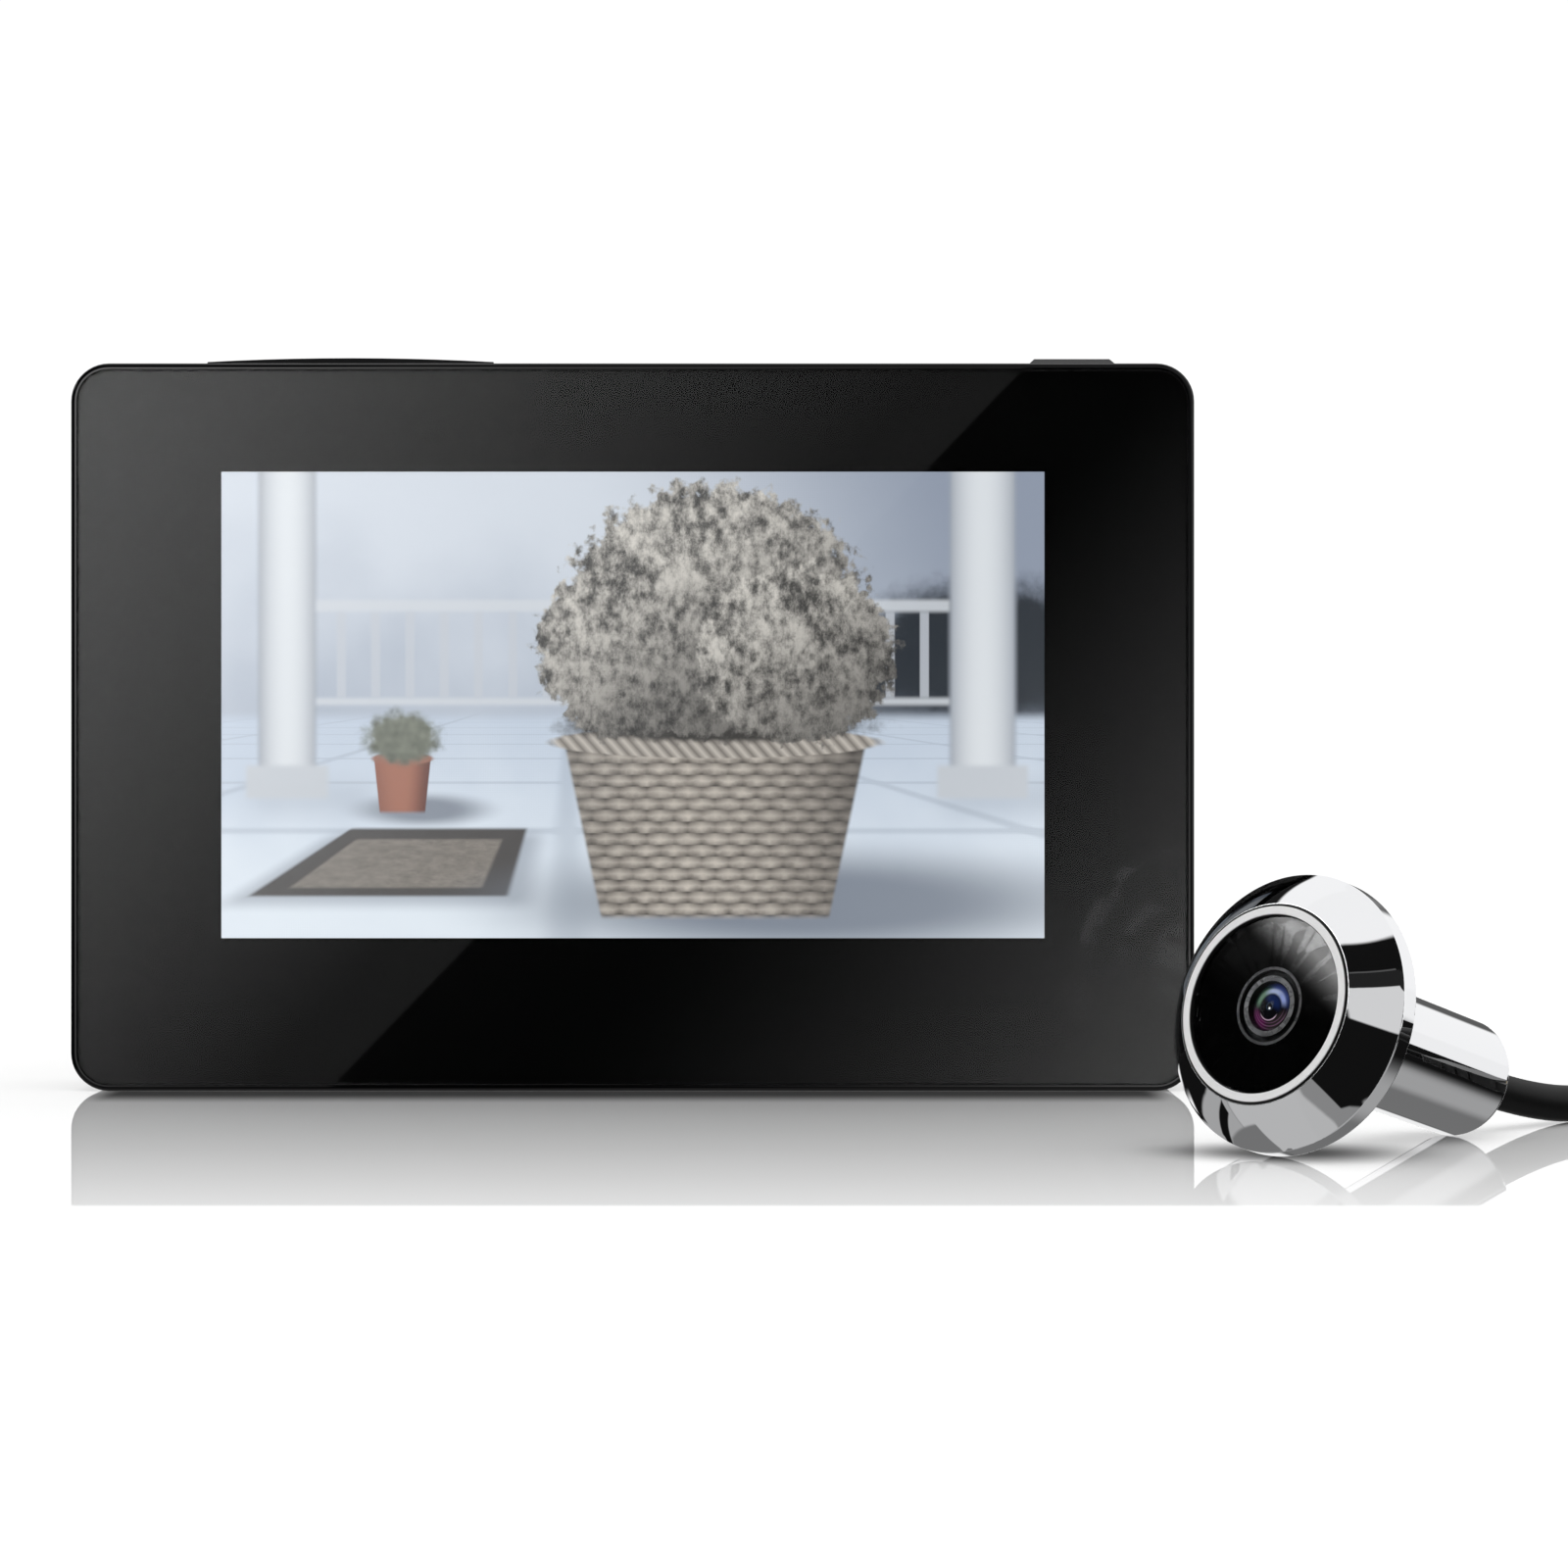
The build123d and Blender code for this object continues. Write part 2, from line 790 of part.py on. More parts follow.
def add_battery_bay(body):
    """Rear shell with the battery bay and the rails that the cover slides on."""
    half = bay_height / 2
    right = bay_right + bay_end_wall
    top = bay_floor - bay_floor_wall
    outer_half = half + rail_wall
    body += block(
        bay_left - bay_end_wall, right, top, cover_front - cover_gap, bay_z - outer_half, bay_z + outer_half
    )
    body -= block(bay_left, bay_right, bay_floor, case_thickness + overrun, bay_z - half, bay_z + half)
    open_side = -case_width / 2 - overrun
    cover_end = cover_right + cover_gap
    slot = cover_half + cover_gap
    back = case_thickness + overrun
    body -= block(open_side, cover_end, cover_front - cover_gap, back, bay_z - slot, bay_z + slot)
    groove = slot + tongue_width
    groove_back = cover_front + tongue_thickness + cover_gap
    return body - block(
        open_side, cover_end, cover_front - cover_gap, groove_back, bay_z - groove, bay_z + groove
    )


def add_key_board_ribs(body):
    """Rear shell with the upright ribs that hold the key board in their slots."""
    slot_low = key_board_top - key_board_thickness - rib_gap
    slot_high = key_board_top + rib_gap
    under = top_wall_under - key_clearance
    places = [key_board_left + rib_gap + rib_thickness / 2]
    places += [menu_right + share * (power_left - menu_right) for share in rib_shares]
    for x in places:
        left, right = x - rib_thickness / 2, x + rib_thickness / 2
        body += block(left, right, rib_front, rear_wall_front, rib_bottom, under)
        body += block(left, right, front_depth + overrun, rear_wall_front, under, top_wall_under)
        body -= block(
            left - rib_gap,
            right + rib_gap,
            rib_front - overrun,
            key_board_back + rib_gap,
            slot_low,
            slot_high,
        )
    return body


def battery_cover():
    """Battery cover with rail tongues and finger ridges, cut from the case's outside."""
    left = -case_width / 2 - overrun
    back = case_thickness
    z_from, z_to = bay_z - cover_half, bay_z + cover_half
    cover = outer_case(cover_front, back) & block(left, cover_right, 0, back, z_from, z_to)
    tongue_back = cover_front + tongue_thickness
    z_from, z_to = z_from - tongue_width, z_to + tongue_width
    cover += outer_case(cover_front, back) & block(left, cover_right, 0, tongue_back, z_from, z_to)
    for i in range(grip_count):
        x = -case_width / 2 + grip_start + i * grip_pitch
        cover -= block(
            x - grip_width / 2,
            x + grip_width / 2,
            case_thickness - grip_depth,
            case_thickness + overrun,
            bay_z - grip_height / 2,
            bay_z + grip_height / 2,
        )
    return cover


def battery_row(index):
    """Z of one battery and which way its nub points."""
    return bay_z + (index - (cell_count - 1) / 2) * cell_spacing, 1 if index % 2 == 0 else -1


def battery(index):
    """One slim dry cell with its nub, lying along X."""
    z, way = battery_row(index)
    body = Cylinder(cell_radius, cell_length)
    body = fillet(body.edges(), cell_round)
    nub = Cylinder(cell_nub_radius, cell_nub_length)
    cell = body + Pos(0, 0, (cell_length + cell_nub_length) / 2) * nub
    nub_side = contact_thickness + contact_dimple + cell_nub_length
    flat_side = contact_thickness + contact_leaf
    left = bay_left + (flat_side if way > 0 else nub_side)
    return Pos(left + cell_length / 2, at(cell_depth), z) * Rot(0, way * 90, 0) * cell


def battery_contacts():
    """Stamped contacts at both ends of the bay: a dimple for each nub, a leaf for each flat end."""
    contacts = Part()
    half = contact_size / 2
    near, far = cell_depth - half, cell_depth + half
    for i in range(cell_count):
        z, way = battery_row(i)
        for end, inward in ((bay_left, 1), (bay_right, -1)):
            inner = end + inward * contact_thickness
            contacts += block(min(end, inner), max(end, inner), near, far, z - half, z + half)
            if inward == way:
                contacts += leaf(inner, inward, z)
            else:
                reach = Pos(inner + inward * contact_dimple / 2, at(cell_depth), z)
                contacts += reach * Rot(0, 90, 0) * Cylinder(contact_dimple_radius, contact_dimple)
    return contacts


def leaf(x, inward, z):
    """Bowed leaf that presses on a battery's flat end."""
    peak = x + inward * (contact_leaf - leaf_thickness)
    root = x - inward * contact_thickness / 2
    line = Polyline((root, z - leaf_half), (peak, z), (root, z + leaf_half))
    half = contact_dimple_radius
    plane = Plane(origin=(0, at(cell_depth + half), 0), x_dir=(1, 0, 0), z_dir=(0, -1, 0))
    strip = extrude(plane * trace(line, leaf_thickness), 2 * half)
    plate, tip = x - inward * contact_thickness, x + inward * contact_leaf
    keep = block(
        min(plate, tip),
        max(plate, tip),
        cell_depth - half,
        cell_depth + half,
        z - contact_size / 2,
        z + contact_size / 2,
    )
    return strip & keep


def shell_screws():
    """Four case screws with cross-slotted heads sunk in the back."""
    screws = Part()
    top = screw_seat + screw_head_height
    for x, z in screw_places():
        head = peg(screw_head_radius, screw_seat, top, x, z)
        reach, half = screw_head_radius, cross_width / 2
        for across, up in ((reach * 2 / 3, half), (half, reach * 2 / 3)):
            head -= block(x - across, x + across, top - cross_depth, top + overrun, z - up, z + up)
        screws += head + peg(screw_radius, screw_seat - screw_length, screw_seat, x, z)
    return screws


def mounting_bracket():
    """Steel door bracket: flat plate, hole for the tube's sleeve and four bent hooks."""
    plate = slab(
        bracket_width,
        bracket_height,
        bracket_corner,
        plate_front,
        plate_back,
        x=bracket_x,
        z=bracket_z,
    )
    plate -= peg(sleeve_hole_radius, 0, case_thickness + overrun, bracket_x, bracket_z)
    tip = recess_under - hook_reach_gap - hook_thickness
    half = hook_width / 2
    for x, z in hook_places():
        reach = plate_front - tip
        plate -= block(x - half, x + half, 0, case_thickness + overrun, z - reach / 2, z)
        plate += block(x - half, x + half, tip, plate_back, z, z + hook_thickness)
        plate += block(
            x - half, x + half, tip, tip + hook_thickness, z, z + hook_thickness + hook_lip
        )
    return plate


def rest_angle():
    """Downward tilt of the lens head lying on its rim's rear edge and its tube's end."""
    rise = (rim_radius - rim_round) - (tube_radius - tube_end_round)
    run = (tube_end - tube_end_round) - (rim_thickness - rim_round)
    turn = math.acos((tube_end_round - rim_round) / math.hypot(rise, run))
    return turn - math.atan2(run, rise)


def head_frame():
    """Origin and direction of the lens head: centre of the rim's front, towards the tube's end."""
    tilt, turn = rest_angle(), math.radians(head_turn)
    low = (rim_thickness - rim_round) * math.sin(tilt) + (rim_radius - rim_round) * math.cos(tilt)
    axis = (math.cos(tilt) * math.sin(turn), math.cos(tilt) * math.cos(turn), -math.sin(tilt))
    return (head_x, head_y, low + rim_round), axis


def in_head(shape):
    """Moves a piece from the lens head's own axis to where the head lies."""
    origin, axis = head_frame()
    level = (axis[1], -axis[0], 0)
    return Plane(origin=origin, x_dir=level, z_dir=axis).location * shape


def camera_housing():
    """Chromed housing: cone-shaped flange with a short rim, and the tube behind it."""
    front = -cone_length
    bulge = cone_bulge
    mouth = ring_radius + ring_gap
    cone = ThreePointArc(
        (cone_front_radius, front),
        ((cone_front_radius + rim_radius) / 2 + bulge, front / 2 - bulge),
        (rim_radius, 0),
    )
    rest = Polyline(
        (rim_radius, 0),
        (rim_radius, rim_thickness),
        (tube_radius, rim_thickness),
        (tube_radius, tube_end),
        (bore_radius, tube_end),
        (bore_radius, chamber_end),
        (chamber_radius, chamber_end),
        (chamber_radius, seat),
        (mouth, seat),
        (mouth, front),
        (cone_front_radius, front),
    )
    body = revolve(Plane.XZ * make_face([cone, rest]), Axis.Z)
    groove = (rim_thickness - gasket_thickness, rim_thickness + overrun)
    body -= disc(gasket_outer_radius, *groove, gasket_inner_radius)
    circles = body.edges().filter_by(GeomType.CIRCLE)
    rim_edges = [e for e in circles if abs(e.radius - rim_radius) < rim_round]
    end_edges = [e for e in circles if abs(e.radius - tube_radius) < rim_round]
    end_edges = [e for e in end_edges if e.center().Z > tube_end / 2]
    body = fillet(rim_edges, rim_round)
    return fillet([e for e in body.edges() if same_edge(e, end_edges[0])], tube_end_round)


def same_edge(edge, wanted):
    """Whether an edge is the wanted circle, after other edges of its solid changed."""
    if edge.geom_type != GeomType.CIRCLE:
        return False
    near = (edge.arc_center - wanted.arc_center).length < rim_round
    return near and abs(edge.radius - wanted.radius) < rim_round


def trim_ring():
    """Bright ring round the window, with fine bevels."""
    low, high = seat - ring_thickness, seat
    inner, outer, b = ring_radius - ring_width, ring_radius, ring_bevel
    return turned(
        [
            (inner, low + b),
            (inner + b, low),
            (outer - b, low),
            (outer, low + b),
            (outer, high),
            (inner, high),
        ]
    )


def window_glass():
    """Flat window in front of the lens, a little behind the trim ring."""
    low = seat - window_thickness
    return disc(chamber_radius - ring_gap, low, seat)


def lens_bezel():
    """Black moulded cup behind the window, with the hole that the lens looks through."""
    radius = chamber_radius - bezel_gap
    inner = radius - bezel_wall
    return turned(
        [
            (bezel_hole_radius, seat),
            (radius, seat),
            (radius, chamber_end),
            (inner, chamber_end),
            (inner, seat + bezel_plate),
            (bezel_hole_radius, seat + bezel_plate),
        ]
    )


def lens_ring():
    """Thin ring that lines the hole in the bezel."""
    inner = bezel_hole_radius - lens_ring_width
    return disc(bezel_hole_radius, seat, seat + lens_ring_thickness, inner)


def lens_barrel():
    """Lens barrel with a raised land at its front and a stepped bore."""
    front = barrel_front
    step = retainer_radius - retainer_width
    land = front - barrel_land
    lens_seat = front + front_lens_thickness
    return turned(
        [
            (step, front),
            (retainer_radius, front),
            (retainer_radius, land),
            (barrel_radius, land),
            (barrel_radius, barrel_end),
            (inner_bore_radius, barrel_end),
            (inner_bore_radius, lens_seat),
            (step, lens_seat),
        ]
    )


def lens_retainer():
    """Grey ring that holds the front lens in the barrel."""
    inner = retainer_radius - retainer_width
    return disc(retainer_radius, barrel_front - retainer_thickness, barrel_front, inner)


def front_lens():
    """Domed front lens in the barrel's mouth."""
    radius = retainer_radius - retainer_width - inner_lens_gap
    back = barrel_front + front_lens_thickness
    edge = radius**2 / (2 * front_lens_curve)
    crown = back - front_lens_thickness - front_lens_sag
    body = disc(radius, crown, back)
    ball = Pos(0, 0, crown + front_lens_curve) * Sphere(front_lens_curve)
    core = disc(radius, crown + edge, back)
    return (body & ball) + core


def inner_lenses():
    """Smaller lenses in a row inside the barrel."""
    lenses = Part()
    radius = inner_bore_radius - inner_lens_gap
    for i in range(inner_lens_count):
        low = inner_lens_start + i * inner_lens_pitch
        ball = Pos(0, 0, low + inner_lens_curve) * Sphere(inner_lens_curve)
        lenses += disc(radius, low, low + inner_lens_thickness) & ball
    return lenses


def lens_holder():
    """Holder that the barrel screws into, with two flats, seated on the sensor board."""
    radius = bore_radius - holder_gap
    body = disc(radius, holder_start, sensor_board_front, barrel_radius + thread_gap)
    length = sensor_board_front - holder_start
    middle = (sensor_board_front + holder_start) / 2
    return body & Pos(0, 0, middle) * Box(2 * radius, holder_flat, length)


def image_sensor():
    """Image sensor on the front of its board."""
    middle = sensor_board_front - sensor_thickness / 2
    return Pos(0, 0, middle) * Box(sensor_size, sensor_size, sensor_thickness)


def ir_filter():
    """Thin square filter glass on the sensor."""
    middle = sensor_board_front - sensor_thickness - filter_thickness / 2
    return Pos(0, 0, middle) * Box(filter_size, filter_size, filter_thickness)


def camera_board():
    """Round board in the tube that carries the sensor and the lead's end."""
    low = sensor_board_front
    return disc(bore_radius - holder_gap, low, low + sensor_board_thickness)


def door_gasket():
    """Foam ring in the back of the flange, against the door."""
    front = rim_thickness - gasket_thickness
    return disc(gasket_outer_radius, front, rim_thickness, gasket_inner_radius)


def cable_bung():
    """Rubber bung that closes the tube round the lead."""
    high = tube_end - bung_sink
    return disc(bore_radius - bung_gap, high - bung_length, high, lead_radius + bung_gap)


def lead_in_tube():
    """The lead's stretch inside the tube, from the sensor board to the tube's end."""
    return disc(lead_radius, sensor_board_front + sensor_board_thickness, tube_end)


# Route of the free lead on the table after it touches down: X and Y in order
lead_route = [
    (106.4, -39.4),
    (123.5, -32.5),
    (137.8, -33.8),
    (149.6, -41.4),
    (155.9, -53.4),
    (155.7, -66.6),
    (149.3, -77.7),
    (138.5, -84.2),
    (126.1, -84.4),
    (115.4, -78.5),
    (109.1, -68.3),
]


def lead_points():
    """Corners of the lead's path: out of the tube, down to the table and round a loose loop."""
    origin, axis = head_frame()
    start = Vector(*origin) + Vector(*axis) * tube_end
    touch = start + Vector(*axis) * ((start.Z - lead_radius) / -axis[2])
    return [start, touch] + [Vector(x, y, lead_radius) for x, y in lead_route]


def camera_lead():
    """Free lead: straight runs joined by arcs as large as the runs allow."""
    points = lead_points()
    radii = []
    for before, here, after in zip(points, points[1:], points[2:]):
        turn = math.radians((here - before).get_angle(after - here))
        run = min((here - before).length, (after - here).length)
        radii.append(lead_arc_share * run / math.tan(turn / 2))
    print("lead arc radii", [round(r, 1) for r in radii])
    path = FilletPolyline(*points, radius=radii)
    start = Plane(origin=path @ 0, z_dir=path % 0)
    lead = sweep(start * Circle(lead_radius), path=path)
    print("lead length", round(path.length, 1), "volume", round(lead.volume, 1))
    print("section times length", round(math.pi * lead_radius**2 * path.length, 1))
    return lead


def in_plug(shape):
    """Moves a piece from the plug's own frame to the lead's far end."""
    points = lead_points()
    along = (points[-1] - points[-2]).normalized()
    across = (-along.Y, along.X, 0)
    return Plane(origin=points[-1], x_dir=along, z_dir=(0, 0, 1)).location * shape


def camera_plug():
    """Moulded plug with a grooved grip and a narrow nose."""
    length, nose = plug_body_length, plug_nose_length
    body = Box(length, plug_body_width, plug_body_height)
    body = Pos(length / 2, 0, 0) * fillet(body.edges().filter_by(Axis.Z), plug_round)
    for i in range(plug_grip_count):
        x = length / 2 + (i - (plug_grip_count - 1) / 2) * plug_grip_pitch
        for side in (-1, 1):
            y = side * (plug_body_width / 2 - plug_grip_depth / 2)
            groove = Box(plug_grip_width, plug_grip_depth, plug_body_height)
            body -= Pos(x, y, 0) * groove
    tip = Box(nose, plug_nose_width, plug_nose_height)
    return in_plug(body + Pos(length + nose / 2, 0, 0) * tip)


def plug_contacts():
    """Row of contact strips on top of the plug's nose."""
    strips = Part()
    x = plug_body_length + plug_nose_length - plug_contact_length / 2
    z = plug_nose_height / 2 + plug_contact_thickness / 2
    for i in range(plug_contact_count):
        y = (i - (plug_contact_count - 1) / 2) * plug_contact_pitch
        strips += Pos(x, y, z) * Box(plug_contact_length, plug_contact_width, plug_contact_thickness)
    return in_plug(strips)


pieces = {
    "front_glass": front_glass(),
    "glass_mask": glass_mask(),
    "front_frame": front_frame(),
    "lcd_panel": lcd_panel(),
    "backlight_unit": backlight_unit(),
    "lcd_ribbon": lcd_ribbon(),
    "ribbon_socket": ribbon_socket(),
    "main_board": main_board(),
    "board_chips": board_chips(),
    "board_screws": board_screws(),
    "camera_socket": camera_socket(),
    "key_board": key_board(),
    "power_dome": power_dome(),
    "menu_domes": menu_domes(),
    "power_key": power_key(),
    "menu_rocker": menu_rocker(),
    "rocker_pin": rocker_pin(),
    "rear_shell": rear_shell(),
    "battery_cover": battery_cover(),
    "battery_contacts": battery_contacts(),
    "shell_screws": shell_screws(),
    "mounting_bracket": mounting_bracket(),
}
for number in range(cell_count):
    pieces[f"battery_{number + 1}"] = battery(number)
for name, make in {
    "camera_housing": camera_housing,
    "trim_ring": trim_ring,
    "window_glass": window_glass,
    "lens_bezel": lens_bezel,
    "lens_ring": lens_ring,
    "lens_barrel": lens_barrel,
    "lens_retainer": lens_retainer,
    "front_lens": front_lens,
    "inner_lenses": inner_lenses,
    "lens_holder": lens_holder,
    "ir_filter": ir_filter,
    "image_sensor": image_sensor,
    "camera_board": camera_board,
    "door_gasket": door_gasket,
    "cable_bung": cable_bung,
    "lead_in_tube": lead_in_tube,
}.items():
    pieces[name] = in_head(make())
pieces["camera_lead"] = camera_lead()
pieces["camera_plug"] = camera_plug()
pieces["plug_contacts"] = plug_contacts()

origin, axis = head_frame()
print("lens head origin", [round(v, 3) for v in origin], "axis", [round(v, 5) for v in axis])
print("lead points", [tuple(round(v, 2) for v in p) for p in lead_points()])

for name, shape in pieces.items():
    export_step(shape, f"parts/{name}.step")
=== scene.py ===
# %% [markdown]
# # A peephole door camera
# A door viewer set has two halves. The screen unit hangs on the inside of a door, and the lens
# head looks out through the peephole. Here the screen unit stands on its bottom edge and the
# lens head lies beside it. The shapes come from the CAD model, so this lesson is about surfaces:
# glass over a lit picture, satin plastic, mirror chrome and a coated lens. Everything is in
# metres, with +Z up and the screen looking along -Y.

# %% Load the frame
import json
import math

import bpy
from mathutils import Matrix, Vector


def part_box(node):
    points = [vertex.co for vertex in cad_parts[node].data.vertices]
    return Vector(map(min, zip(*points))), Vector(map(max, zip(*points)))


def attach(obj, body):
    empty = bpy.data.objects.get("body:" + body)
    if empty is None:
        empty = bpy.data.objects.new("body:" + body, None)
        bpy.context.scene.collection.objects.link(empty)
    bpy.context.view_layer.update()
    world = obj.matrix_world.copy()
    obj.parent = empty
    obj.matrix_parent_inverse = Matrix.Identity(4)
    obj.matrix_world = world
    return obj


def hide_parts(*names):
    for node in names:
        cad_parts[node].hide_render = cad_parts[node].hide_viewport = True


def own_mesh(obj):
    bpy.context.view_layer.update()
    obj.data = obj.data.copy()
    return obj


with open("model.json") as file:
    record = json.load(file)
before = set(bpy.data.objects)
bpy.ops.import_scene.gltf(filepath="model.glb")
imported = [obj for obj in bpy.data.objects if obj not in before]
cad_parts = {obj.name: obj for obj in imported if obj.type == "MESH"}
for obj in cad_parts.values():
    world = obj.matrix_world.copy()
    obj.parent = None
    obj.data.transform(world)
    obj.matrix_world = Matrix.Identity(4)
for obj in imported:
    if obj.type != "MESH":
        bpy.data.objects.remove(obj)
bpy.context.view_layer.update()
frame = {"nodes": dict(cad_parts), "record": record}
nodes = frame["nodes"]
MM = 0.001

# %% [markdown]
# The photograph was taken level, so the upright edges stay upright. One long lens, level and on
# the axis a little right of the screen's middle, fits both items. A second camera or a tilt
# isn't needed.

# %% Camera
lens_mm, sensor_mm = 79.74, 36
camera_place = Vector((0.01745, -0.409, 0.0354))
camera = bpy.data.objects.new("camera", bpy.data.cameras.new("camera"))
camera.data.lens, camera.data.sensor_width = lens_mm, sensor_mm
camera.data.clip_start = 0.01
camera.location = camera_place
camera.rotation_euler = (math.radians(90), 0, 0)
bpy.context.scene.collection.objects.link(camera)
bpy.context.scene.camera = camera
print("camera at", tuple(camera_place), "lens", lens_mm)

# %% [markdown]
# The lead is a soft jacketed cable that leaves the tube straight, reaches the table and lies in
# one loose loop with its plug inside. A cable has no corners, so it is one NURBS curve with the
# route's points as its control points, given thickness by a round bevel. Order 3 keeps it close
# to the points and still smooth. The thickness is in the points' own radius, because Blender's
# box round a curve counts that radius and not the bevel.

# %% Lead
LEAD_POINTS = [
    (85.95, -57.82, 5.59), (95.4, -48.87, 1.9), (106.4, -39.4, 1.9), (123.5, -32.5, 1.9),
    (137.8, -33.8, 1.9), (149.6, -41.4, 1.9), (155.9, -53.4, 1.9), (155.7, -66.6, 1.9),
    (149.3, -77.7, 1.9), (138.5, -84.2, 1.9), (126.1, -84.4, 1.9), (115.4, -78.5, 1.9),
    (109.1, -68.3, 1.9),
]
lead_radius = 1.9 * MM
lead_curve = bpy.data.curves.new("lead", "CURVE")
lead_curve.dimensions = "3D"
lead_curve.bevel_depth = 1.0
lead_curve.bevel_resolution = 8
lead_curve.resolution_u = 16
lead_curve.use_fill_caps = True
spline = lead_curve.splines.new("NURBS")
spline.points.add(len(LEAD_POINTS) - 1)
for point, spot in zip(spline.points, LEAD_POINTS):
    point.co = (*[v * MM for v in spot], 1)
    point.radius = lead_radius
spline.order_u = 3
spline.use_endpoint_u = True
lead = bpy.data.objects.new("lead", lead_curve)
bpy.context.scene.collection.objects.link(lead)
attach(lead, "root")
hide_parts("camera_lead")
print("lead control points", len(LEAD_POINTS))

# %% [markdown]
# A finish is a small node tree round one Principled shader. Sums of textures are long to write
# as nodes, so a Wire stands for a socket and can be added and multiplied like a number. Each
# operation makes one Math node. The other way, a script in a shading language, is slower to
# render and can't be exported.

# %% Wires: sockets that behave like numbers
class Wire:
    """A node's output that can be added and multiplied like a number."""

    def __init__(self, tree, socket):
        self.tree, self.socket = tree, socket

    def math(self, operation, other=0.0):
        node = self.tree.nodes.new("ShaderNodeMath")
        node.operation = operation
        feed(self.tree, node.inputs[0], self)
        feed(self.tree, node.inputs[1], other)
        return Wire(self.tree, node.outputs[0])

    def __add__(self, other):
        return self.math("ADD", other)

    def __sub__(self, other):
        return self.math("SUBTRACT", other)

    def __mul__(self, other):
        return self.math("MULTIPLY", other)

    def __truediv__(self, other):
        return self.math("DIVIDE", other)

    def flip(self):
        """1 where it was 0, and 0 where it was 1."""
        return self * -1.0 + 1.0

    def toward(self, other, share):
        """Goes from this value to another one by a share."""
        return self + (self * -1.0 + other) * share


def feed(tree, socket, value):
    """Sets a socket to a number or colour, or links a wire to it."""
    if isinstance(value, Wire):
        tree.links.new(value.socket, socket)
    else:
        socket.default_value = value


print("wires ready")

# %% [markdown]
# Most masks are one of three: a smooth step, a band with soft edges, or a pattern that repeats.
# Distances from a point or an axis are worked out from two lengths at right angles.

# %% Wires: masks, distances and colours
def rise(value, start, end):
    """0 before start and 1 after end, with a smooth slope between."""
    node = value.tree.nodes.new("ShaderNodeMapRange")
    node.interpolation_type = "SMOOTHSTEP"
    for name, number in (("Value", value), ("From Min", start), ("From Max", end)):
        feed(value.tree, node.inputs[name], number)
    return Wire(value.tree, node.outputs["Result"])


def between(value, low, high, soft):
    """1 between low and high, fading over soft on both sides."""
    return rise(value, low - soft, low + soft) * rise(value, high - soft, high + soft).flip()


def comb(value):
    """0 in the middle of each whole step of the value, and 0.5 at the step's ends."""
    return (value.math("FRACT") - 0.5).math("ABSOLUTE")


def distance(a, b):
    """Straight distance from two lengths at right angles."""
    return (a * a + b * b).math("SQRT")


# The Mix node has sockets for every kind of data. These are the ones for colours.
COLOUR_A, COLOUR_B, COLOUR_RESULT = 6, 7, 2


def mixed(mask, below, above):
    """Colour above painted over colour below where the mask is 1."""
    node = mask.tree.nodes.new("ShaderNodeMix")
    node.data_type = "RGBA"
    feed(mask.tree, node.inputs["Factor"], mask)
    feed(mask.tree, node.inputs[COLOUR_A], below)
    feed(mask.tree, node.inputs[COLOUR_B], above)
    return Wire(mask.tree, node.outputs[COLOUR_RESULT])


def rgb(red, green, blue):
    return (red, green, blue, 1.0)


print("masks ready")

# %% [markdown]
# Textures are placed by object coordinates. Every CAD node's object sits at the origin, so these
# coordinates are real metres in the shared frame, and a grain of 0.2 mm is the same size on
# every piece.

# %% Finishes: one shader and its place
def finish(name, colour, roughness, **settings):
    """Starts a material with one Principled shader. Returns material, tree and shader."""
    material = bpy.data.materials.new(name)
    material.use_nodes = True
    tree = material.node_tree
    shader = tree.nodes["Principled BSDF"]
    feed(tree, shader.inputs["Base Color"], colour)
    feed(tree, shader.inputs["Roughness"], roughness)
    for key, value in settings.items():
        feed(tree, shader.inputs[key.replace("_", " ")], value)
    return material, tree, shader


def xyz(tree, source):
    """The X, Y and Z of a vector socket as three wires."""
    split = tree.nodes.new("ShaderNodeSeparateXYZ")
    tree.links.new(source, split.inputs[0])
    return [Wire(tree, s) for s in split.outputs]


def place(tree):
    """Object coordinates as three wires, in metres."""
    return xyz(tree, tree.nodes.new("ShaderNodeTexCoord").outputs["Object"])


print("finishes ready")


# %% Finishes: grain, and putting them on
def noise(tree, size, detail, stretch=(1, 1, 1), rough=0.5):
    """Noise from 0 to 1 with features of about size metres, stretched along an axis if asked."""
    coordinates = tree.nodes.new("ShaderNodeTexCoord")
    scaled = tree.nodes.new("ShaderNodeMapping")
    scaled.inputs["Scale"].default_value = [1 / (size * s) for s in stretch]
    tree.links.new(coordinates.outputs["Object"], scaled.inputs["Vector"])
    node = tree.nodes.new("ShaderNodeTexNoise")
    node.inputs["Scale"].default_value = 1.0
    node.inputs["Detail"].default_value = detail
    node.inputs["Roughness"].default_value = rough
    tree.links.new(scaled.outputs["Vector"], node.inputs["Vector"])
    return Wire(tree, node.outputs[0])


def bump(tree, shader, height, depth, strength):
    """Raises the surface by height, where 1 means depth metres."""
    node = tree.nodes.new("ShaderNodeBump")
    node.inputs["Strength"].default_value = strength
    node.inputs["Distance"].default_value = depth
    feed(tree, node.inputs["Height"], height)
    tree.links.new(node.outputs["Normal"], shader.inputs["Normal"])


def dress(material, *names):
    """Gives a material to CAD nodes, in each of their material slots."""
    for name in names:
        mesh = nodes[name].data
        if not mesh.materials:
            mesh.materials.append(material)
        for i in range(len(mesh.materials)):
            mesh.materials[i] = material
    print(material.name, "on", ", ".join(names))


print("grain ready")

